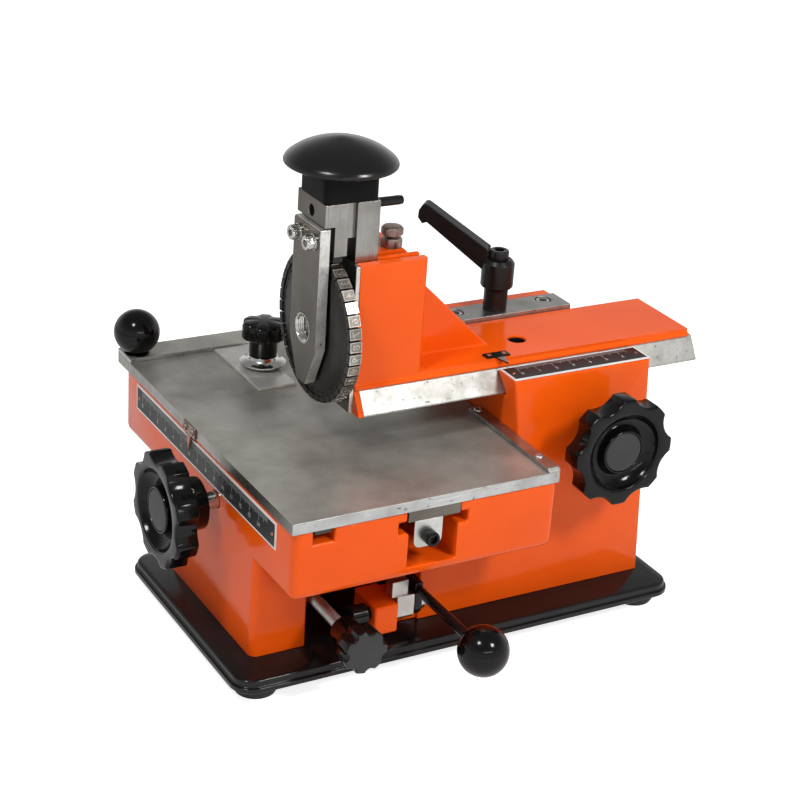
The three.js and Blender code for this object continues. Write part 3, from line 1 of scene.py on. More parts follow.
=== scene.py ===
import json
from math import cos, exp, log, pi, radians, sin, sqrt

import bmesh
import bpy
from mathutils import Matrix, Vector

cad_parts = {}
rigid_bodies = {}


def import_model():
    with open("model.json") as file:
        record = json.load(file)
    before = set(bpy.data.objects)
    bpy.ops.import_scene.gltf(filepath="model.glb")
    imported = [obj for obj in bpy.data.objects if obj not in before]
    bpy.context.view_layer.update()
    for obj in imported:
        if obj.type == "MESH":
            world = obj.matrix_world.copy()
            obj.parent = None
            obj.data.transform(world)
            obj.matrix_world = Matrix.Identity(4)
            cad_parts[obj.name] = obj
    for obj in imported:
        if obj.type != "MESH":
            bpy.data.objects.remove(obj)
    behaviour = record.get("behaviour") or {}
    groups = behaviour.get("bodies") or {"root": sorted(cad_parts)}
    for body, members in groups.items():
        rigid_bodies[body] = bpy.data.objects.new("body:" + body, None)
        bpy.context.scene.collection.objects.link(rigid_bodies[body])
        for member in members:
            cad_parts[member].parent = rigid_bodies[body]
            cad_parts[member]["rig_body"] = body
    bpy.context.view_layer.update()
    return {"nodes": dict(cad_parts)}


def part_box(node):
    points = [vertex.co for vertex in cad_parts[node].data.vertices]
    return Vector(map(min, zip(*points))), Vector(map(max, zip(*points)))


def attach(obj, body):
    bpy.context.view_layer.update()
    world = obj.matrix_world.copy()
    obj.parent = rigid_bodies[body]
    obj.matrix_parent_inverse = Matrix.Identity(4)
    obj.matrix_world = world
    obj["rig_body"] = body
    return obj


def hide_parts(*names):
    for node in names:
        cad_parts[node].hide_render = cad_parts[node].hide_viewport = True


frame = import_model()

MM = 0.001
LEFT, RIGHT = (-1, 0, 0), (1, 0, 0)
FRONT, BACK = (0, -1, 0), (0, 1, 0)
UP = (0, 0, 1)
NODES = frame["nodes"]
LOOKS = {}


# Materials

class Look:
    """A material whose node tree is built a node at a time."""

    def __init__(self, slot, name, colour, roughness, metallic=0.0, **sockets):
        self.material = bpy.data.materials.new(name)
        self.material.use_nodes = True
        self.tree = self.material.node_tree
        self.shader = self.tree.nodes["Principled BSDF"]
        self.place = self.tree.nodes.new("ShaderNodeTexCoord").outputs["Object"]
        self.set("Base Color", (*colour, 1.0))
        self.set("Roughness", roughness)
        self.set("Metallic", metallic)
        for socket, value in sockets.items():
            self.set(socket.replace("_", " "), value)
        LOOKS[name] = (self.material, slot)

    def set(self, socket, value):
        self.shader.inputs[socket].default_value = value

    def link(self, output, socket):
        self.tree.links.new(output, socket)

    def noise(self, scale, detail, stretch=(1, 1, 1), rough=0.5):
        mapping = self.tree.nodes.new("ShaderNodeMapping")
        mapping.inputs["Scale"].default_value = stretch
        texture = self.tree.nodes.new("ShaderNodeTexNoise")
        texture.inputs["Scale"].default_value = scale
        texture.inputs["Detail"].default_value = detail
        texture.inputs["Roughness"].default_value = rough
        self.link(self.place, mapping.inputs["Vector"])
        self.link(mapping.outputs["Vector"], texture.inputs["Vector"])
        return texture.outputs["Fac"]

    def range(self, value, start, end, low, high):
        node = self.tree.nodes.new("ShaderNodeMapRange")
        for socket, number in zip(("From Min", "From Max", "To Min", "To Max"), (start, end, low, high)):
            node.inputs[socket].default_value = number
        self.link(value, node.inputs["Value"])
        return node.outputs["Result"]

    def blend(self, share, first, second):
        node = self.tree.nodes.new("ShaderNodeMix")
        node.data_type = "RGBA"
        for index, colour in ((6, first), (7, second)):
            if isinstance(colour, tuple):
                node.inputs[index].default_value = (*colour, 1.0)
            else:
                self.link(colour, node.inputs[index])
        self.link(share, node.inputs[0])
        return node.outputs[2]

    def greater(self, first, second):
        node = self.tree.nodes.new("ShaderNodeMath")
        node.operation = "MAXIMUM"
        self.link(first, node.inputs[0])
        self.link(second, node.inputs[1])
        return node.outputs[0]

    def colour(self, output):
        self.link(output, self.shader.inputs["Base Color"])

    def rough(self, output):
        self.link(output, self.shader.inputs["Roughness"])

    def bump(self, *layers):
        normal = None
        for height, strength, depth in layers:
            node = self.tree.nodes.new("ShaderNodeBump")
            node.inputs["Strength"].default_value = strength
            node.inputs["Distance"].default_value = depth
            self.link(height, node.inputs["Height"])
            if normal:
                self.link(normal, node.inputs["Normal"])
            normal = node.outputs["Normal"]
        self.link(normal, self.shader.inputs["Normal"])


def enamel(slot, name, light, dark, roughness, waviness, **sockets):
    """Sprayed paint: soft colour drift, an orange-peel skin and uneven gloss."""
    look = Look(slot, name, light, roughness[0], **sockets)
    look.colour(look.blend(look.range(look.noise(14, 3), 0.35, 0.7, 0, 1), light, dark))
    look.rough(look.range(look.noise(45, 3), 0.3, 0.7, *roughness))
    look.bump((look.noise(55, 2), waviness, 0.002), (look.noise(900, 1), 0.05, 0.0004))


def steel(slot, name, light, dark, roughness, grain, blotch, bite=0.12, pits=None, metallic=1.0, streak=0.6):
    """Worked metal: stretched tool marks, clouds of handling, rough streaks and, where asked, dark pits."""
    look = Look(slot, name, light, roughness[0], metallic)
    lines = look.noise(1, 4, grain, 0.65)
    clouds = look.range(look.noise(blotch, 6, rough=0.62), 0.36, 0.66, 0, 0.75)
    streaks = look.range(lines, 0.4, 0.68, 0, streak)
    tone = look.blend(look.greater(clouds, streaks), light, dark)
    layers = [(lines, bite, 0.0003), (look.noise(260, 3), 0.05, 0.0005)]
    if pits:
        spots = look.range(look.noise(pits, 5, rough=0.7), 0.60, 0.68, 0, 1)
        tone = look.blend(spots, tone, tuple(0.22 * share for share in dark))
        layers.append((spots, -0.5, 0.0004))
    look.colour(tone)
    look.rough(look.range(look.noise(30, 4), 0.3, 0.7, *roughness))
    look.bump(*layers)


ALONG_X = (40, 900, 900)
ALONG_Y = (900, 40, 900)
ALONG_Z = (900, 900, 40)
TURNED = (300, 300, 300)
CAST = (120, 120, 120)

enamel(
    "orange_enamel", "orange", (0.87, 0.104, 0.004), (0.80, 0.088, 0.003), (0.09, 0.17), 0.10,
    Specular_IOR_Level=0.18,
)
enamel(
    "black_enamel", "black_paint", (0.005, 0.005, 0.005), (0.009, 0.009, 0.009), (0.12, 0.22), 0.06,
    Specular_IOR_Level=0.3,
)
enamel(
    "gloss_black", "gloss", (0.002, 0.002, 0.002), (0.004, 0.004, 0.004), (0.11, 0.16), 0.02,
    Specular_IOR_Level=0.22,
)
enamel(
    "gloss_black", "satin", (0.005, 0.005, 0.005), (0.008, 0.008, 0.008), (0.19, 0.26), 0.02,
    Specular_IOR_Level=0.32,
)
enamel(
    "matt_black", "matt", (0.003, 0.003, 0.003), (0.005, 0.005, 0.005), (0.42, 0.56), 0.03,
    Specular_IOR_Level=0.09,
)
enamel(
    "matt_black", "lever", (0.004, 0.004, 0.004), (0.007, 0.007, 0.007), (0.26, 0.36), 0.03,
    Specular_IOR_Level=0.28,
)
enamel("matt_black", "cap", (0.013, 0.013, 0.013), (0.018, 0.018, 0.018), (0.46, 0.58), 0.03)
enamel("rubber", "rubber", (0.012, 0.012, 0.012), (0.022, 0.022, 0.021), (0.62, 0.80), 0.05)
enamel(
    "scale_plate", "anodised", (0.008, 0.009, 0.011), (0.014, 0.015, 0.017), (0.36, 0.48), 0.02,
    Specular_IOR_Level=0.35,
)
enamel("scale_plate", "print", (0.52, 0.53, 0.52), (0.36, 0.37, 0.36), (0.45, 0.60), 0.01)
enamel("scale_plate", "trim", (0.82, 0.82, 0.80), (0.66, 0.66, 0.64), (0.35, 0.50), 0.01)
steel(
    "ground_steel", "table", (0.43, 0.415, 0.375), (0.19, 0.175, 0.15), (0.34, 0.50), ALONG_Y,
    blotch=19, bite=0.06, metallic=0.6, streak=0.12,
)
# The table's edge look is lighter than the table's top partly as painted highlight, standing for the bright
# line along a lit edge; its pits and tool marks are real.
steel(
    "ground_steel", "table_edge", (0.56, 0.57, 0.57), (0.30, 0.30, 0.29), (0.30, 0.46), ALONG_X,
    blotch=40, bite=0.2, pits=170,
)
steel("ground_steel", "plate", (0.17, 0.155, 0.135), (0.105, 0.095, 0.08), (0.30, 0.44), ALONG_Z, blotch=20)
steel(
    "ground_steel", "milled", (0.47, 0.465, 0.44), (0.25, 0.24, 0.215), (0.34, 0.52), CAST,
    blotch=60, bite=0.3, pits=260,
)
steel("ground_steel", "bare", (0.44, 0.435, 0.42), (0.28, 0.27, 0.245), (0.30, 0.46), ALONG_X, blotch=30)
steel("bright_steel", "brushed", (0.36, 0.35, 0.33), (0.17, 0.16, 0.14), (0.24, 0.38), ALONG_Z, blotch=30)
steel(
    "ground_steel", "strip", (0.66, 0.65, 0.62), (0.40, 0.385, 0.35), (0.26, 0.42), ALONG_Y,
    blotch=30, metallic=0.6,
)
steel(
    "bright_steel", "edge", (0.72, 0.72, 0.69), (0.44, 0.42, 0.38), (0.28, 0.44), CAST,
    blotch=90, bite=0.3, pits=380, metallic=0.6,
)
steel("bright_steel", "turned", (0.62, 0.61, 0.59), (0.44, 0.43, 0.40), (0.12, 0.24), TURNED, blotch=40)
steel("zinc", "zinc", (0.60, 0.60, 0.58), (0.42, 0.42, 0.39), (0.24, 0.42), CAST, blotch=45)
steel("dark_steel", "dark", (0.085, 0.078, 0.070), (0.045, 0.040, 0.036), (0.36, 0.52), TURNED, blotch=50)
steel("dark_steel", "blued", (0.050, 0.046, 0.042), (0.030, 0.027, 0.024), (0.30, 0.46), TURNED, blotch=30)
steel("dark_steel", "type", (0.33, 0.30, 0.26), (0.11, 0.088, 0.068), (0.26, 0.44), TURNED, blotch=60)
steel("bright_steel", "crest", (0.62, 0.60, 0.56), (0.20, 0.175, 0.15), (0.24, 0.40), TURNED, blotch=60)
steel(
    "dark_steel", "rusty", (0.40, 0.34, 0.30), (0.15, 0.072, 0.045), (0.34, 0.55), CAST,
    blotch=130, bite=0.35,
)
steel("scale_plate", "copper", (0.60, 0.24, 0.14), (0.36, 0.12, 0.07), (0.25, 0.45), TURNED, blotch=200)


# Pieces

def add_piece(name, data, look, body):
    """A mesh as a piece of the scene, with its look, riding on a body."""
    piece = bpy.data.objects.new(name, data)
    bpy.context.scene.collection.objects.link(piece)
    material, slot = LOOKS[look]
    data.materials.clear()
    data.materials.append(material)
    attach(piece, body)
    return piece


def build(name, vertices, faces, look, body, crease=35):
    """A piece from vertices in millimetres, smooth but for edges sharper than the crease."""
    data = bpy.data.meshes.new(name)
    data.from_pydata([Vector(v) * MM for v in vertices], [], faces)
    work = bmesh.new()
    work.from_mesh(data)
    bmesh.ops.recalc_face_normals(work, faces=work.faces)
    work.to_mesh(data)
    work.free()
    data.shade_smooth()
    data.set_sharp_from_angle(angle=radians(crease))
    return add_piece(name, data, look, body)


SHARP = radians(28)
COPLANAR = radians(0.5)
SHARE_OF_ROOM = 0.42
SAME_POINT = 0.01 * MM
SAME_PLANE = radians(0.3)
FACES_THAT_WAY = 0.6


def distance(point, edge):
    """How far a point is from an edge."""
    start, end = (v.co for v in edge.verts)
    share = (point - start).dot(end - start) / (end - start).length_squared
    return (start.lerp(end, min(max(share, 0), 1)) - point).length


def borders(face):
    """The edges round the flat area that a face is part of."""
    area, found = {face}, set()
    queue = [face]
    while queue:
        for edge in queue.pop().edges:
            if edge.calc_face_angle(0) > COPLANAR:
                found.add(edge)
                continue
            fresh = set(edge.link_faces) - area
            area |= fresh
            queue += fresh
    return found


def land_beside(edge):
    """How far it is from an edge to the next edges of the flat areas on it."""
    gaps = [edge.calc_length()]
    for other in set().union(*(borders(f) for f in edge.link_faces)):
        if not set(edge.verts) & set(other.verts):
            gaps += [distance(v.co, other) for v in edge.verts]
            gaps += [distance(v.co, edge) for v in other.verts]
    return min(gaps)


def softened(node, look, width, *facing):
    """A CAD node's shape with rounded edges, each as wide as the faces beside it leave room for.

    Each further pair is a look and the direction that the faces that take it look in.
    """
    data = NODES[node].data.copy()
    work = bmesh.new()
    work.from_mesh(data)
    bmesh.ops.remove_doubles(work, verts=work.verts, dist=SAME_POINT)
    bmesh.ops.dissolve_limit(work, angle_limit=SAME_PLANE, verts=work.verts, edges=work.edges)
    room = {v: min((e.calc_length() for e in v.link_edges), default=0) for v in work.verts}
    weight = work.edges.layers.float.new("bevel_weight_edge")
    for edge in work.edges:
        if len(edge.link_faces) == 2 and edge.calc_face_angle() > SHARP:
            spare = min(room[edge.verts[0]], room[edge.verts[1]], land_beside(edge))
            edge[weight] = min(1, SHARE_OF_ROOM * spare / (width * MM))
    work.to_mesh(data)
    work.free()
    # The normals that came with the CAD shape are those of its unrounded faces
    if "custom_normal" in data.attributes:
        data.attributes.remove(data.attributes["custom_normal"])
    data.shade_smooth()
    piece = add_piece(node + "_Skin", data, look, NODES[node]["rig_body"])
    for other, way in facing:
        data.materials.append(LOOKS[other][0])
        for face in data.polygons:
            if face.normal.dot(Vector(way)) > FACES_THAT_WAY:
                face.material_index = len(data.materials) - 1
    bevel = piece.modifiers.new("Edges", "BEVEL")
    bevel.limit_method = "WEIGHT"
    bevel.width = width * MM
    bevel.segments = 3
    bevel.use_clamp_overlap = False
    bevel.harden_normals = True
    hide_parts(node)
    return piece


def spin(specs, angles):
    """Vertices and faces of a closed skin: each ring is a height and a radius, or a radius for each angle."""
    vertices, faces, rings = [], [], []
    for height, radius in specs:
        first = len(vertices)
        if radius == 0:
            vertices.append((0, 0, height))
        else:
            for angle in angles:
                reach = radius(angle) if callable(radius) else radius
                vertices.append((reach * cos(angle), reach * sin(angle), height))
        rings.append(range(first, len(vertices)))
    for lower, upper in zip(rings, rings[1:]):
        count = max(len(lower), len(upper))
        for i in range(count):
            j = (i + 1) % count
            corners = [ring[k % len(ring)] for ring, k in ((lower, i), (lower, j), (upper, j), (upper, i))]
            faces.append(list(dict.fromkeys(corners)))
    return vertices, faces


def stand(origin, out, side):
    """A frame at a point, whose own Z runs out and whose own X runs to the side."""
    z = Vector(out).normalized()
    x = Vector(side).normalized()
    frame_at = Matrix((x, z.cross(x), z)).transposed().to_4x4()
    frame_at.translation = Vector(origin)
    return frame_at


def turn(name, place, specs, look, body, angles, crease=35):
    """A turned piece in a frame, from rings listed as heights and radii; angles is a count or a list."""
    around = [2 * pi * i / angles for i in range(angles)] if isinstance(angles, int) else angles
    vertices, faces = spin(specs, around)
    return build(name, [place @ Vector(v) for v in vertices], faces, look, body, crease)


def curve(points, steps):
    """A smooth line through points given as heights and radii."""
    line = []
    for i in range(len(points) - 1):
        a, b, c, d = (points[max(0, min(len(points) - 1, i + k))] for k in (-1, 0, 1, 2))
        for s in range(steps):
            t = s / steps
            line.append(tuple(
                0.5 * (
                    2 * q + (r - p) * t + (2 * p - 5 * q + 4 * r - u) * t * t
                    + (3 * q - p - 3 * r + u) * t ** 3
                )
                for p, q, r, u in zip(a, b, c, d)
            ))
    return line + [points[-1]]


def span(node):
    """The lowest and highest corners of a CAD node, in millimetres."""
    low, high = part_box(node)
    return low / MM, high / MM


def middle(node):
    """The middle of a CAD node, in millimetres."""
    low, high = span(node)
    return (low + high) / 2


class Batch:
    """Small shapes gathered into one piece."""

    def __init__(self):
        self.vertices, self.faces = [], []

    def add(self, vertices, faces, place):
        first = len(self.vertices)
        self.vertices += [place @ Vector(v) for v in vertices]
        self.faces += [[first + i for i in face] for face in faces]

    def box(self, low, high, place):
        corners = [(x, y, z) for x in (low[0], high[0]) for y in (low[1], high[1]) for z in (low[2], high[2])]
        sides = [(0, 1, 3, 2), (4, 6, 7, 5), (0, 4, 5, 1), (2, 3, 7, 6), (0, 2, 6, 4), (1, 5, 7, 3)]
        self.add(corners, sides, place)

    def build(self, name, look, body):
        return build(name, self.vertices, self.faces, look, body)


def glyph(text, size, depth):
    """A generic numeral as a solid, its middle at the origin, its face up and its foot on z = 0."""
    font = bpy.data.curves.new("Numeral", "FONT")
    font.body = text
    font.size = size
    font.extrude = depth / 2
    font.resolution_u = 3
    font.offset = 0.012 * size
    holder = bpy.data.objects.new("Numeral", font)
    shape = holder.to_mesh()
    points = [v.co.copy() for v in shape.vertices]
    faces = [list(p.vertices) for p in shape.polygons]
    holder.to_mesh_clear()
    bpy.data.objects.remove(holder)
    low = Vector(min(p[i] for p in points) for i in range(3))
    high = Vector(max(p[i] for p in points) for i in range(3))
    centre = (low + high) / 2
    return [(p.x - centre.x, p.y - centre.y, p.z - low.z) for p in points], faces


# Outlines

def hexagon(apothem):
    """A hexagon's radius at each angle."""
    return lambda angle: apothem / cos((angle + pi / 6) % (pi / 3) - pi / 6)


def knurl(radius, depth, count):
    """A ribbed rim's radius at each angle."""
    return lambda angle: radius - depth * (0.5 + 0.5 * cos(count * angle))


def scallops(top, valley, lobes, land, inset, phase=0.0):
    """A rim of short lands between finger scallops, each scallop an arc that meets the lands in a crease."""
    half = pi / lobes - land
    reach = top * cos(half)
    centre = (top * top - valley * valley) / (2 * (reach - valley))
    arc = centre - valley
    blend = 0.12

    def radius(angle):
        offset = (angle - phase) % (2 * pi / lobes) - pi / lobes
        inside = arc * arc - (centre * sin(offset)) ** 2
        if inside <= 0:
            return top - inset
        hollow = centre * cos(offset) - sqrt(inside)
        return -blend * log(exp(-top / blend) + exp(-hollow / blend)) - inset

    return radius


ACROSS_SCALLOP = (0.02, 0.05, 0.1, 0.2, 0.32, 0.44, 0.56, 0.68, 0.8, 0.9, 0.95, 0.98)
BY_CREASE = 0.02


def lobe_angles(lobes, land, phase=0.0):
    """Angles round a scalloped rim, closer together at the creases.

    Each is a share of half a lobe: a land runs from -edge to edge, and a scallop from there to 2 - edge.
    """
    edge = land * lobes / pi
    shares = [-edge + 2 * edge * k / 4 for k in range(5)]
    shares += [edge + (2 - 2 * edge) * k for k in ACROSS_SCALLOP]
    shares += [-edge + BY_CREASE, -edge - BY_CREASE + 2, edge - BY_CREASE]
    in_order = sorted(set(round(share, 5) for share in shares))
    pitch = pi / lobes
    return [phase + (2 * i + share) * pitch for i in range(lobes) for share in in_order]


# Castings, plates and blocks: the CAD shapes with softened edges

SOFTENED = (
    ("Base_Pan", "black_paint", 0.9),
    ("Frame_Casting", "orange", 1.8),
    ("Head_Casting", "orange", 1.5),
    ("Gib_Block", "milled", 0.6, ("bare", UP)),
    ("Lever_Bearing", "zinc", 0.5),
    # The table plate's front faces take the lighter edge look, partly painted highlight, and its left faces
    # the darker brushed look as painted shade.
    ("Table_Plate", "table", 0.5, ("table_edge", FRONT), ("brushed", LEFT)),
    ("Table_Keel", "plate", 0.3),
    ("Table_Keel_Foot", "dark", 0.3),
    ("Table_Rack", "dark", 0.15),
    # The back rail's left and front faces take the same lighter edge look, partly painted highlight.
    ("Table_Back_Rail", "table", 0.5, ("table_edge", LEFT), ("table_edge", FRONT)),
    ("Stop_Tab", "zinc", 0.25),
    ("Clamp_Strip", "strip", 0.4, ("edge", LEFT), ("edge", FRONT)),
    ("Arm_Dovetail", "milled", 0.4),
    ("Arm_Rack", "dark", 0.15),
    ("Head_Side_Plate", "plate", 0.4, ("edge", FRONT)),
    ("Plunger_Column", "plate", 0.4, ("brushed", FRONT)),
    ("Wheel_Bracket", "plate", 0.5, ("edge", FRONT), ("edge", UP)),
    ("Index_Pawl", "black_paint", 0.4),
    ("Knob_Base", "matt", 0.8),
    ("Lever_Hub", "black_paint", 0.8),
    ("Clamp_Lever", "lever", 0.7),
    ("Lever_Collar", "black_paint", 0.6),
    ("Left_Pinion_Shaft", "turned", 0.2),
    ("Right_Pinion_Shaft", "turned", 0.2),
    ("Line_Pointer", "rusty", 0.2),
    ("Column_Pointer", "black_paint", 0.2),
)
for node, look, width, *facing in SOFTENED:
    softened(node, look, width, *facing)

# The fence slopes down at its front end
low, high = span("Table_Fence")
lip, slope = 1, 2.4
profile = [(low.y, low.z), (low.y, low.z + lip), (low.y + slope, high.z), (high.y, high.z), (high.y, low.z)]
count = len(profile)
corners = [(x, y, z) for x in (low.x, high.x) for y, z in profile]
sides = [list(range(count)), list(range(2 * count - 1, count - 1, -1))]
sides += [[i, (i + 1) % count, count + (i + 1) % count, count + i] for i in range(count)]
fence = build("Table_Fence_Skin", corners, sides, "milled", "table", crease=20)
rounding = fence.modifiers.new("Edges", "BEVEL")
rounding.width = 0.3 * MM
rounding.segments = 3
rounding.harden_normals = True
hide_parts("Table_Fence")


# Handwheels: each runs back from its face, with a set screw in its hub

HUB_RADIUS = 18.5
SCREW_BEHIND = 22


def handwheel(side, place, phase):
    """A scalloped rim round a dished face, with a hub behind and a matt cap in front."""
    body = NODES[side + "_Handwheel"]["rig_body"]
    top, valley, lobes, land = 40.0, 35.2, 8, radians(7.2)
    rim = lambda inset: scallops(top, valley, lobes, land, inset, phase)
    angles = lobe_angles(lobes, land, phase)
    bowl = curve([
        (-2.2, 16.2), (-5.4, 16.9), (-7.8, 18.2), (-8.7, 20.2), (-8.2, 22.6), (-6.4, 25.2), (-3.8, 27.4),
        (-1.6, 28.5),
    ], steps=3)
    specs = [(-5, 0), (-5, 14.7), (-1.9, 14.7), (-1.55, 14.9), (-1.45, 15.3), (-1.6, 15.8)]
    specs += bowl
    specs += [(-0.9, 28.8), (-0.75, 29.3), (-0.5, 29.6), (-0.12, 29.8), (0, 30.3)]
    specs += [(0, rim(2.2)), (-0.08, rim(1.4)), (-0.35, rim(0.7)), (-0.9, rim(0.2)), (-1.7, rim(0))]
    specs += [(-14.6, rim(0)), (-15.4, rim(0.3)), (-15.9, rim(1.0)), (-16, rim(1.8))]
    specs += [(-16, 23), (-16.3, 20.6), (-17.2, 19.1), (-18.5, HUB_RADIUS), (-30.8, 18.2), (-31.9, 17.8)]
    specs += [(-32.4, 16.9), (-32.5, 16), (-32.5, 7.2), (-31.8, 6.2), (-12.2, 6.2), (-12.2, 0)]
    wheel = turn(side + "_Handwheel_Skin", place, specs, "gloss", body, angles, crease=40)
    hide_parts(side + "_Handwheel")
    cap_specs = [(-4.9, 0), (-4.9, 14.4), (-2.0, 14.4), (-1.7, 14.1), (-1.6, 13.5), (-1.6, 6), (-1.58, 0)]
    cap = turn(side + "_Handwheel_Cap_Skin", place, cap_specs, "cap", body, angles=64)
    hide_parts(side + "_Handwheel_Cap")


def set_screw(name, place, body):
    """A cup-point set screw whose socket shows in its hole."""
    socket = hexagon(0.9)
    specs = [(-1.2, 0), (-1.2, socket), (-0.1, socket), (0, 1.3), (0, 1.9), (-0.4, 2.2), (-3, 2.2), (-3, 0)]
    turn(name, place, specs, "turned", body, angles=24)


low, high = span("Left_Handwheel")
left_hub = Vector((low.x, (low.y + high.y) / 2, (low.z + high.z) / 2))
handwheel("Left", stand(left_hub, LEFT, UP), phase=radians(22.5))
slant = Vector((0, -0.55, 0.84)).normalized()
screw_at = left_hub + SCREW_BEHIND * Vector(RIGHT) + HUB_RADIUS * slant
set_screw("Left_Set_Screw", stand(screw_at, slant, RIGHT), "left_drive")
low, high = span("Right_Handwheel")
right_hub = Vector(((low.x + high.x) / 2, low.y, (low.z + high.z) / 2))
handwheel("Right", stand(right_hub, FRONT, RIGHT), phase=0.0)
slant = Vector((0.5, 0, 0.87)).normalized()
screw_at = right_hub + SCREW_BEHIND * Vector(BACK) + HUB_RADIUS * slant
set_screw("Right_Set_Screw", stand(screw_at, slant, BACK), "right_drive")


# Star knobs

DOMED = ((0.1, 9), (0.35, 6.4), (0.7, 3.6), (1.1, 2.0), (1.7, 0.9), (2.6, 0.25), (3.8, 0))
FLAT = ((0, 1.3), (0.15, 0.7), (0.5, 0.25), (1.1, 0))


def star_knob(node, place, top, valley, lobes, land, crown, face, back, neck_radius, neck_end):
    """A lobed knob, its face at one height, its head's back at another and its neck behind.

    The crown lists drops below the face and how far in from the rim each lies.
    """
    rim = lambda inset: scallops(top, valley, lobes, land, inset)
    angles = lobe_angles(lobes, land)
    specs = [(face, 0)] + [(face - drop, rim(inset)) for drop, inset in crown] + [(back + 1.6, rim(0))]
    specs += [(back + 0.6, rim(0.5)), (back, rim(1.6))]
    specs += [(back - 0.6, neck_radius + 0.7), (back - 1.6, neck_radius)]
    specs += [(neck_end + 1.6, neck_radius - 0.1), (neck_end + 0.6, neck_radius - 0.4)]
    specs += [(neck_end, neck_radius - 1.1), (neck_end, 0)]
    knob = turn(node + "_Skin", place, specs, "gloss", NODES[node]["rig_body"], angles, crease=42)
    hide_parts(node)
    return knob


low, high = span("Clamp_Star_Knob")
clamp_axis = middle("Clamp_Seat")
star_knob(
    "Clamp_Star_Knob", stand((clamp_axis.x, clamp_axis.y, low.z), UP, RIGHT),
    top=16.2, valley=13.9, lobes=6, land=radians(13), crown=DOMED,
    face=high.z - low.z, back=10, neck_radius=10.4, neck_end=-3.4,
)
low, high = span("Front_Star_Knob")
stud_axis = middle("Front_Stud")
front_knob = star_knob(
    "Front_Star_Knob", stand((stud_axis.x, low.y, stud_axis.z), FRONT, RIGHT),
    top=15.7, valley=13.4, lobes=7, land=radians(12), crown=FLAT,
    face=0, back=-15, neck_radius=9.9, neck_end=low.y - high.y,
)

# The front knob's flat face is matt
FLAT_ON = 0.97
front_knob.data.materials.append(LOOKS["cap"][0])
for face in front_knob.data.polygons:
    if face.normal.dot(Vector(FRONT)) > FLAT_ON:
        face.material_index = 1

# The flared seat under the clamp's knob
low, high = span("Clamp_Seat")
seat_specs = [(0, 0), (0, 12.6), (0.3, 13.1)]
seat_specs += curve([(0.6, 13.4), (1.4, 14.4), (2.2, 15.8), (2.7, 16.6)], steps=4)
seat_specs += [(3.1, 17), (3.6, 16.9)] + curve([(4.0, 16.3), (5.0, 14.3), (6.4, 12.4), (8.2, 11.3)], steps=4)
seat_specs += [(8.8, 10.9), (8.8, 0)]
seat_place = stand((clamp_axis.x, clamp_axis.y, low.z), UP, RIGHT)
seat = turn("Clamp_Seat_Skin", seat_place, seat_specs, "turned", "table", angles=72)
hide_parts("Clamp_Seat")


# Balls and the press knob

HANDLE_BALL_RADIUS = 16.75
LEVER_BALL_RADIUS = 17.5
BALL_SKIN = 0.05


def ball(node, place, size, flat):
    """A knob ball with its seat turned flat and a fine line where the halves of its mould met."""
    radius = size - BALL_SKIN
    start = flat / radius
    specs = [(-sqrt(radius * radius - flat * flat), 0)]
    steps = 34
    for i in range(steps + 1):
        polar = start + (pi - start) * i / steps
        bump = 0.02 if i == steps // 2 else 0
        specs.append((-radius * cos(polar), (radius + bump) * sin(polar) if i < steps else 0))
    piece = turn(node + "_Skin", place, specs, "gloss", NODES[node]["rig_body"], angles=72)
    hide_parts(node)


low, high = span("Handle_Ball")
ball_at = ((low.x + high.x) / 2, (low.y + high.y) / 2, high.z - HANDLE_BALL_RADIUS)
ball("Handle_Ball", stand(ball_at, UP, RIGHT), HANDLE_BALL_RADIUS, flat=7)
low, high = span("Lever_Ball")
ball_at = ((low.x + high.x) / 2, low.y + LEVER_BALL_RADIUS, (low.z + high.z) / 2)
ball("Lever_Ball", stand(ball_at, FRONT, RIGHT), LEVER_BALL_RADIUS, flat=4.5)

# The handle ball's base
foot_at = middle("Handle_Base")
foot_at.z = span("Handle_Base")[0].z
base_specs = [(0, 0), (0, 9.4), (0.5, 9.5), (0.8, 9.3), (1, 8.8), (1, 0)]
base = turn("Handle_Base_Skin", stand(foot_at, UP, RIGHT), base_specs, "gloss", "table", angles=64)
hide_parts("Handle_Base")

# The press knob, a shallow dome with a rolled rim
low, high = span("Press_Knob")
knob_at = Vector(((low.x + high.x) / 2, (low.y + high.y) / 2, low.z))
dome = [(0, 0), (0, 20), (0.1, 24)]
dome += curve([
    (0.4, 28), (1.0, 32.6), (1.9, 35.6), (2.8, 37.2), (4.0, 37.7), (5.3, 37.3), (7.4, 35.8), (10.6, 31.8),
    (13.8, 26.6), (16.8, 19.6), (18.9, 12.6), (20.4, 5.6),
], steps=4)
dome += [(20.8, 2.5), (21, 0)]
knob = turn("Press_Knob_Skin", stand(knob_at, UP, RIGHT), dome, "satin", "plunger", angles=96)
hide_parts("Press_Knob")


# Feet

for node in ("Foot_Front_Left", "Foot_Front_Right", "Foot_Back_Left", "Foot_Back_Right"):
    low, high = span(node)
    at = Vector(((low.x + high.x) / 2, (low.y + high.y) / 2, low.z))
    specs = [(0.8, 0), (0.8, 4), (0, 4.6), (0, 13.3), (0.3, 14), (1.2, 14.5), (3, 15.3), (4.2, 15.8)]
    specs += [(5.2, 16), (7.4, 16), (7.7, 15.6), (8.1, 15.6), (8.4, 16), (15.6, 16), (16, 15.6), (16, 0)]
    foot = turn(node + "_Skin", stand(at, UP, RIGHT), specs, "rubber", "frame", angles=56)
    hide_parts(node)


# Screws, nuts and pins

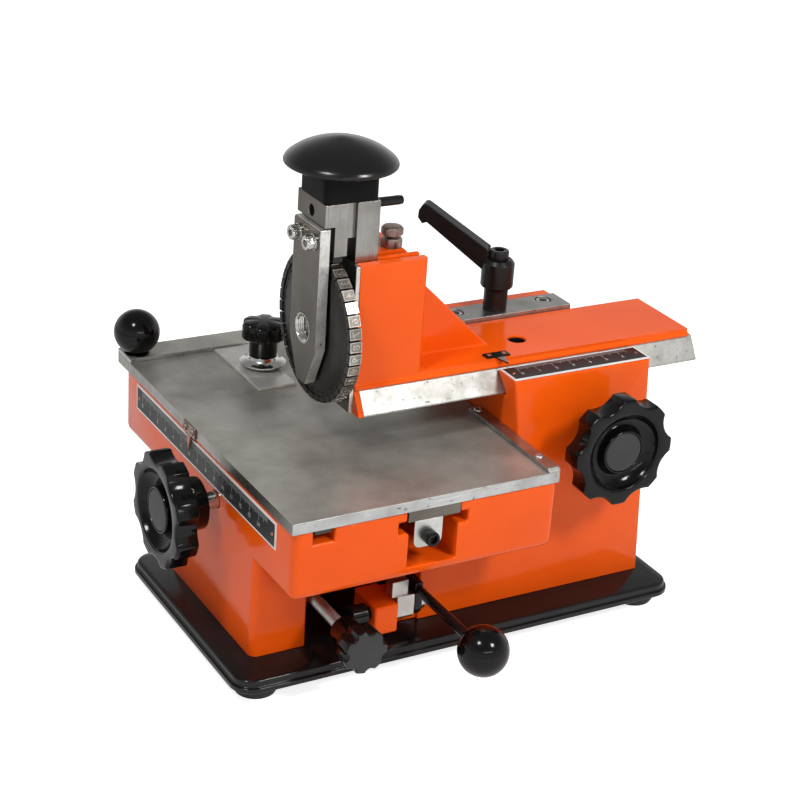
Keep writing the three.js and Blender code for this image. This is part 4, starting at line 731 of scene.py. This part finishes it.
def socket_screw(node, place, radius, height, socket, depth, look):
    """A ribbed cylindrical head with a hexagon socket."""
    side = knurl(radius, 0.22, 30)
    specs = [(0, 0), (0, radius - 0.3), (0.3, side), (height - 0.9, side), (height - 0.7, radius - 0.25)]
    specs += [(height - 0.25, radius - 0.35), (height, radius - 0.8), (height, socket + 0.9)]
    specs += [(height - 0.35, hexagon(socket)), (height - depth, hexagon(socket)), (height - depth - 0.8, 0)]
    screw = turn(node + "_Skin", place, specs, look, NODES[node]["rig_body"], angles=120, crease=38)
    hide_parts(node)


def round_axis(node, axis):
    """The middle of a node, moved to its low end along one axis."""
    low, high = span(node)
    point = (low + high) / 2
    point[axis] = low[axis]
    return point


for node in ("Gib_Screw_Left", "Gib_Screw_Right"):
    place = stand(round_axis(node, 2), UP, RIGHT)
    socket_screw(node, place, radius=5.4, height=5.5, socket=2.8, depth=3, look="turned")
for node in ("Bracket_Screw_Front", "Bracket_Screw_Back"):
    point = middle(node)
    point.x = span(node)[1].x
    place = stand(point, LEFT, UP)
    socket_screw(node, place, radius=5, height=7, socket=2.5, depth=3, look="turned")
    washer = [(0, 4), (0, 5.3), (0.2, 5.5), (1.1, 5.5), (1.3, 5.3), (1.3, 4), (0, 4)]
    turn(node + "_Washer", place, washer, "turned", "plunger", angles=48)
point = middle("Stop_Screw")
point.y = span("Stop_Screw")[1].y
place = stand(point, FRONT, RIGHT)
socket_screw("Stop_Screw", place, radius=5, height=7, socket=2.6, depth=3, look="gloss")
place = stand(round_axis("Clamp_Lever_Screw", 2), UP, RIGHT)
socket_screw("Clamp_Lever_Screw", place, radius=7.15, height=6.5, socket=3.5, depth=3.5, look="black_paint")

# A dark lining in the slab's hole
HOLE_FROM_CORNER = Vector((144, 34.75, 10.5))
hole_at = span("Head_Casting")[0] + HOLE_FROM_CORNER
specs = [(0, 0), (0, 6.4), (10.4, 6.4), (10.8, 6.2), (10.8, 5.7), (10.4, 5.4), (1, 5.4), (1, 0)]
turn("Slab_Bush", stand(hole_at, UP, RIGHT), specs, "matt", "arm", angles=48)


def cross_head(name, place, radius, height, look, body):
    """A domed screw head with a cross recess sunk in it."""
    arm = lambda angle: 0.34 * radius * (1.0 + 0.75 * cos(4 * angle))
    root = lambda angle: 0.6 * arm(angle)
    specs = [(0, 0), (0, radius), (0.25 * height, radius), (0.6 * height, 0.93 * radius)]
    specs += [(0.88 * height, 0.78 * radius), (height, 0.62 * radius)]
    specs += [(0.97 * height, arm), (0.3 * height, root), (0.25 * height, 0)]
    return turn(name, place, specs, look, body, angles=64)


for node in ("Fence_Screw_Front", "Fence_Screw_Back"):
    place = stand(round_axis(node, 2), UP, RIGHT)
    head = cross_head(node + "_Skin", place, radius=3.2, height=1.25, look="zinc", body="table")
    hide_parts(node)


def thread(start, end, radius, pitch, depth):
    """Rings that stand for a thread's crests and roots."""
    rings = []
    height = start
    while height < end:
        rings += [(height, radius - depth), (height + pitch / 2, radius)]
        height += pitch
    return rings


def hex_nut(node, place, apothem, height, hole, look):
    """A hexagon nut with rounded corners and a countersunk hole."""
    flats = hexagon(apothem)
    crown = lambda inset: (lambda angle: min(flats(angle), apothem * 1.1 - inset))
    specs = [(0.9, hole), (0, hole + 0.8), (0, crown(0.5)), (0.7, crown(0)), (height - 0.9, crown(0))]
    specs += [(height, crown(0.9)), (height, hole + 0.8), (height - 0.9, hole), (0.9, hole)]
    return turn(node + "_Skin", place, specs, look, NODES[node]["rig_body"], angles=96, crease=30)


# The stop bolt and its lock nut
STOP_APOTHEM = 6.5
bolt_axis = round_axis("Stop_Bolt", 2)
nut_low = span("Stop_Bolt_Nut")[0]
nut_place = stand((bolt_axis.x, bolt_axis.y, nut_low.z), UP, RIGHT)
nut = hex_nut("Stop_Bolt_Nut", nut_place, STOP_APOTHEM, height=6.5, hole=4.2, look="rusty")
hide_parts("Stop_Bolt_Nut")
flats = hexagon(STOP_APOTHEM)
bolt_specs = [(0, 0), (0, 3.2)] + thread(0.8, 20, radius=4.0, pitch=1.25, depth=0.5)
bolt_specs += [(20.5, 3.8), (20.5, lambda a: min(flats(a), 6.9)), (21.1, flats), (25.3, flats)]
bolt_specs += [(26.2, lambda a: min(flats(a), 6.4)), (26.5, 5.4), (26.5, 0)]
bolt = turn("Stop_Bolt_Skin", stand(bolt_axis, UP, RIGHT), bolt_specs, "rusty", "arm", angles=96, crease=30)
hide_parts("Stop_Bolt")

# The cross pin, its end stepped and rounded
pin_at = round_axis("Cross_Pin", 0)
pin_specs = [(0, 0), (0, 3.25), (38.6, 3.25), (39.3, 3.0), (40.6, 3.0), (41.2, 2.4), (41.5, 1.4), (41.5, 0)]
pin = turn("Cross_Pin_Skin", stand(pin_at, RIGHT, BACK), pin_specs, "black_paint", "plunger", angles=48)
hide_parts("Cross_Pin")

# The hand lever's rod: rings along it keep the slope at its end out of its shading
rod_at = middle("Lever_Rod")
rod_at.y = span("Lever_Rod")[1].y
rod_specs = [(0, 0), (0, 3.1), (0.4, 3.5)] + [(10 + 8 * i, 3.5) for i in range(6)]
rod_specs += [(62.4, 3.5), (63.4, 3.2), (67, 3.2), (67, 0)]
rod = turn("Lever_Rod_Skin", stand(rod_at, FRONT, RIGHT), rod_specs, "black_paint", "hand_lever", angles=48)
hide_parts("Lever_Rod")

# The front knob's stud, threaded along its length
stud_at = Vector((stud_axis.x, span("Front_Stud")[0].y, stud_axis.z))
stud_specs = [(0, 0), (0, 4.2)] + thread(0.6, 70, radius=4.5, pitch=1.5, depth=0.45)
stud_specs += [(71.4, 4.2), (72, 3.4), (72, 0)]
stud = turn("Front_Stud_Skin", stand(stud_at, BACK, RIGHT), stud_specs, "bare", "stud_knob", angles=48)
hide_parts("Front_Stud")

# The bolt head on the hand lever's pivot
low, high = span("Lever_Bolt")
head_at = Vector((low.x, (low.y + high.y) / 2, (low.z + high.z) / 2))
head_place = stand(head_at, RIGHT, UP)
head_flats = hexagon(4.5)
head_crown = lambda angle: min(head_flats(angle), 4.3)
head_specs = [(0, 0), (0, head_flats), (4, head_flats), (4.8, head_crown), (5, 3.6), (5, 0)]
head = turn("Lever_Bolt_Skin", head_place, head_specs, "zinc", "hand_lever", angles=72, crease=30)
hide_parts("Lever_Bolt")

# The type wheel's stepped, hollow axle
low, high = span("Wheel_Axle")
axle_at = Vector((low.x, (low.y + high.y) / 2, (low.z + high.z) / 2))
axle_specs = [(5.5, 0), (5.5, 8)] + thread(1.2, 5.2, radius=8.8, pitch=1.3, depth=0.5)[::-1]
axle_specs += [(0.6, 9.1), (0.1, 9.4), (0.1, 10.1), (7.5, 10.1), (7.5, 13), (8.25, 13), (8.25, 8), (22, 8)]
axle_specs += [(22, 6), (42.5, 6), (42.5, 0)]
axle = turn("Wheel_Axle_Skin", stand(axle_at, RIGHT, UP), axle_specs, "turned", "plunger", angles=72)
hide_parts("Wheel_Axle")


# Type wheel

PLACES = 38
TILE_WIDTH = 8.5
TILE_HALF = 3.62
TILE_FOOT = 48
TILE_TOP = 51.8
FACE_FOOT = 51.7
FACE_TOP = 51.9
FACE_INSET = 0.3
FRAME_TOP = 52.25
FRAME_WIDTH = 0.6
FRAME_MARGIN = 0.05
DOT_REACH = 45.6
DOT_SINK = 0.15
low, high = span("Type_Wheel")
wheel_centre = Vector((low.x, (low.y + high.y) / 2, (low.z + high.z) / 2))


def wheel_frame(index):
    """A frame on the wheel's axis whose own Z runs out through one tile, and whose own X is the axis."""
    angle = -pi / 2 + 2 * pi * index / PLACES
    return stand(wheel_centre, (0, cos(angle), sin(angle)), RIGHT)


disc_specs = [(0.5, 8.25), (0.5, 14), (0.2, 14.6), (0.2, 43.2), (0.6, 43.8), (0.6, 47.6), (0.9, 48.5)]
disc_specs += [(TILE_WIDTH - 0.9, 48.5), (TILE_WIDTH - 0.4, 47.9), (TILE_WIDTH - 0.3, 30)]
disc_specs += [(TILE_WIDTH - 0.3, 13), (TILE_WIDTH, 12.9), (12.6, 12.9), (13, 12.4), (13, 8.25), (0.5, 8.25)]
disc_place = stand(wheel_centre, RIGHT, UP)
disc = turn("Type_Wheel_Disc", disc_place, disc_specs, "blued", "type_wheel", angles=4 * PLACES)
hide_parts("Type_Wheel")

tiles, faces, frames, letters, dots = Batch(), Batch(), Batch(), Batch(), Batch()
NUMERALS = "0123456789"
MIRRORED = Matrix(((0, -1, 0, 0), (-1, 0, 0, 0), (0, 0, 1, 0), (0, 0, 0, 1)))
outer, inner = FRAME_MARGIN, FRAME_MARGIN + FRAME_WIDTH
dot = spin([(0, 0), (0, 0.8), (0.5, 0.8), (0.5, 0)], [pi / 4 * i for i in range(8)])
for index in range(PLACES):
    place = wheel_frame(index)
    tiles.box((0, -TILE_HALF, TILE_FOOT), (TILE_WIDTH, TILE_HALF, TILE_TOP), place)
    low = (FACE_INSET, FACE_INSET - TILE_HALF, FACE_FOOT)
    high = (TILE_WIDTH - FACE_INSET, TILE_HALF - FACE_INSET, FACE_TOP)
    faces.box(low, high, place)
    for x0, x1, y0, y1 in (
        (outer, inner, -TILE_HALF, TILE_HALF),
        (TILE_WIDTH - inner, TILE_WIDTH - outer, -TILE_HALF, TILE_HALF),
        (inner, TILE_WIDTH - inner, -TILE_HALF, -TILE_HALF + FRAME_WIDTH),
        (inner, TILE_WIDTH - inner, TILE_HALF - FRAME_WIDTH, TILE_HALF),
    ):
        frames.box((x0, y0, TILE_TOP), (x1, y1, FRAME_TOP), place)
    shape = glyph(NUMERALS[index % 10], size=7.2, depth=0.75)
    letters.add(*shape, place @ Matrix.Translation((TILE_WIDTH / 2, 0, FACE_FOOT)) @ MIRRORED)
    dots.add(*dot, stand(place @ Vector((DOT_SINK, 0, DOT_REACH)), RIGHT, UP))
tiles.build("Type_Wheel_Tiles", "blued", "type_wheel")
faces.build("Type_Wheel_Faces", "type", "type_wheel")
frames.build("Type_Wheel_Frames", "crest", "type_wheel")
letters.build("Type_Wheel_Numerals", "crest", "type_wheel")
dots.build("Type_Wheel_Dots", "rubber", "type_wheel")


# Scales

BORDER = 1.3
PITCH = 1.4
MARGIN = 11
HALF_MARK = 0.14
LONG, MEDIUM, SHORT = 7.4, 5.4, 3.6
MARKS_FROM_EDGE = 1.8
NUMERALS_FROM_EDGE = 12.4
RIVET_FROM_END = 5
BORDER_DROP = 0.06
PANEL_FOOT = 0.2
MARK_SINK = 0.1
MARK_RISE = 0.03


def scale_strip(node, place, length, width, thick):
    """A black strip with a bare metal border, divisions along one edge, numerals and a rivet at each end."""
    border, panel = Batch(), Batch()
    border.box((0, 0, 0), (length, width, thick - BORDER_DROP), place)
    panel.box((BORDER, BORDER, PANEL_FOOT), (length - BORDER, width - BORDER, thick), place)
    plate = border.build(node + "_Border", "trim", "frame")
    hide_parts(node)
    panel.build(node + "_Panel", "anodised", "frame")
    marks = Batch()
    count = int((length - 2 * MARGIN) / PITCH)
    edge = width - MARKS_FROM_EDGE
    foot = thick - MARK_SINK
    top = thick + MARK_RISE
    for i in range(count + 1):
        at = MARGIN + PITCH * i
        deep = LONG if i % 10 == 0 else MEDIUM if i % 5 == 0 else SHORT
        marks.box((at - HALF_MARK, edge - deep, foot), (at + HALF_MARK, edge, top), place)
        if i % 10 == 0:
            lay = place @ Matrix.Translation((at, width - NUMERALS_FROM_EDGE, foot))
            marks.add(*glyph(str(i // 10), size=4.4, depth=0.13), lay)
    marks.build(node + "_Marks", "print", "frame")
    rivet = [(-0.3, 0), (-0.3, 1.3), (0, 1.3), (0.35, 1.1), (0.6, 0.6), (0.68, 0)]
    for end, at in (("Start", RIVET_FROM_END), ("End", length - RIVET_FROM_END)):
        rivet_place = place @ Matrix.Translation((at, width / 2, thick))
        turn(node + "_Rivet_" + end, rivet_place, rivet, "copper", "frame", angles=24)


low, high = span("Line_Scale")
scale_strip(
    "Line_Scale", stand((high.x, high.y, low.z), LEFT, FRONT),
    length=high.y - low.y, width=high.z - low.z, thick=high.x - low.x,
)
low, high = span("Column_Scale")
scale_strip(
    "Column_Scale", stand(low, UP, RIGHT),
    length=high.x - low.x, width=high.y - low.y, thick=high.z - low.z,
)


# Pointers: rivets or screws on each plate, and a bright arrow on its tip

RIVET_SPREAD = 6
RIVET_FROM_BACK = 3.5
SCREW_SPREAD = 5.6
SCREW_BELOW_TOP = 3.75
ARROW_FROM_FRONT = 10.2
ARROW_BELOW_TOP = 8.2
ARROW_SINK = 0.1


def arrow(name, place, half, length, thick, look, body):
    """A thin pointed plate."""
    corners = [(x, y, z) for z in (0, thick) for x, y in ((-half, 0), (half, 0), (0, length))]
    sides = [(0, 1, 2), (5, 4, 3), (0, 3, 4, 1), (1, 4, 5, 2), (2, 5, 3, 0)]
    build(name, [place @ Vector(c) for c in corners], sides, look, body)


low, high = span("Column_Pointer")
for side, name in ((-1, "Left"), (1, "Right")):
    rivet_at = ((low.x + high.x) / 2 + RIVET_SPREAD * side, high.y - RIVET_FROM_BACK, high.z)
    rivet = [(-0.2, 0), (-0.2, 1.7), (0.15, 1.7), (0.6, 1.3), (0.9, 0.7), (1, 0)]
    turn("Column_Pointer_Rivet_" + name, stand(rivet_at, UP, RIGHT), rivet, "copper", "arm", angles=24)
arrow_at = stand(((low.x + high.x) / 2, low.y + ARROW_FROM_FRONT, high.z - ARROW_SINK), UP, LEFT)
arrow("Column_Pointer_Arrow", arrow_at, half=3, length=9.6, thick=0.35, look="zinc", body="arm")
low, high = span("Line_Pointer")
for side, name in ((-1, "Front"), (1, "Back")):
    screw_at = (low.x, (low.y + high.y) / 2 + SCREW_SPREAD * side, high.z - SCREW_BELOW_TOP)
    place = stand(screw_at, LEFT, UP)
    cross_head("Line_Pointer_Screw_" + name, place, radius=2.7, height=1.4, look="rusty", body="table")
arrow_at = stand((low.x + ARROW_SINK, (low.y + high.y) / 2, high.z - ARROW_BELOW_TOP), LEFT, BACK)
arrow("Line_Pointer_Arrow", arrow_at, half=2.8, length=10.8, thick=0.3, look="copper", body="table")


# Stage, lights and camera, in metres

# A pale floor, white to the camera and a little brighter to mirrors than its own colour
FLOOR_WIDTH = 8
SEEN_GLOW = 0.8
MIRRORED_GLOW = 0.25
bpy.ops.mesh.primitive_plane_add(size=FLOOR_WIDTH)
floor = bpy.context.object
floor.name = "Floor"
ground = bpy.data.materials.new("Floor")
ground.use_nodes = True
nodes, links = ground.node_tree.nodes, ground.node_tree.links
paper = nodes["Principled BSDF"]
paper.inputs["Base Color"].default_value = (0.80, 0.80, 0.80, 1)
paper.inputs["Roughness"].default_value = 0.9
paper.inputs["Specular IOR Level"].default_value = 0.0
rays = nodes.new("ShaderNodeLightPath")
mirrored = nodes.new("ShaderNodeMath")
mirrored.operation = "MAXIMUM"
links.new(rays.outputs["Is Glossy Ray"], mirrored.inputs[0])
links.new(rays.outputs["Is Transmission Ray"], mirrored.inputs[1])
lift = nodes.new("ShaderNodeMix")
lift.inputs[3].default_value = MIRRORED_GLOW
links.new(mirrored.outputs[0], lift.inputs[0])
straight = nodes.new("ShaderNodeMath")
straight.operation = "MULTIPLY"
straight.inputs[1].default_value = SEEN_GLOW
links.new(rays.outputs["Is Camera Ray"], straight.inputs[0])
links.new(straight.outputs[0], lift.inputs[2])
paper.inputs["Emission Color"].default_value = (1, 1, 1, 1)
links.new(lift.outputs[0], paper.inputs["Emission Strength"])
floor.data.materials.append(ground)

# A world that is white about the horizon and darker overhead, with a plain level of its own for light
SHED_LIGHT = 0.35
world = bpy.data.worlds.new("Studio")
bpy.context.scene.world = world
world.use_nodes = True
nodes, links = world.node_tree.nodes, world.node_tree.links
sky = nodes["Background"]
sky.inputs["Color"].default_value = (1, 1, 1, 1)
rays = nodes.new("ShaderNodeLightPath")
seen = rays.outputs["Is Camera Ray"]
for kind in ("Is Glossy Ray", "Is Transmission Ray"):
    either = nodes.new("ShaderNodeMath")
    either.operation = "MAXIMUM"
    links.new(seen, either.inputs[0])
    links.new(rays.outputs[kind], either.inputs[1])
    seen = either.outputs[0]
split = nodes.new("ShaderNodeSeparateXYZ")
links.new(nodes.new("ShaderNodeTexCoord").outputs["Generated"], split.inputs[0])
height = nodes.new("ShaderNodeMapRange")
for socket, number in (("From Min", 0.12), ("From Max", 0.6), ("To Min", 1.0), ("To Max", 0.32)):
    height.inputs[socket].default_value = number
links.new(split.outputs["Z"], height.inputs["Value"])
level = nodes.new("ShaderNodeMix")
level.inputs[2].default_value = SHED_LIGHT
links.new(seen, level.inputs[0])
links.new(height.outputs["Result"], level.inputs[3])
links.new(level.outputs[0], sky.inputs["Strength"])


LIT_POINT = Vector((0, 0, 0.15))


def lamp(name, location, width, height, power):
    """A rectangular lamp that points at the machine's middle."""
    light = bpy.data.lights.new(name, "AREA")
    light.shape = "RECTANGLE"
    light.size = width
    light.size_y = height
    light.energy = power
    holder = bpy.data.objects.new(name, light)
    bpy.context.scene.collection.objects.link(holder)
    holder.location = location
    holder.rotation_euler = (LIT_POINT - Vector(location)).to_track_quat("-Z", "Y").to_euler()


lamp("Key", (0.35, -1.0, 1.08), width=0.27, height=0.27, power=10.8)
lamp("Side", (-0.75, -0.35, 1.25), width=0.23, height=0.23, power=8)
lamp("Strip", (-0.25, -1.35, 0.62), width=0.9, height=0.05, power=1.8)

# The camera stands and looks as the photograph's did, fitted to the machine's own right angles
camera = bpy.data.objects.new("Camera", bpy.data.cameras.new("Camera"))
bpy.context.scene.collection.objects.link(camera)
camera.location = (-0.657749, -1.082478, 0.729)
camera.rotation_euler = (radians(65.734484), radians(-4.302271), radians(-30.498379))
camera.data.lens = 88.596
camera.data.sensor_width = 36
camera.data.shift_x = -0.075
bpy.context.scene.camera = camera
bpy.context.scene.view_settings.view_transform = "Standard"
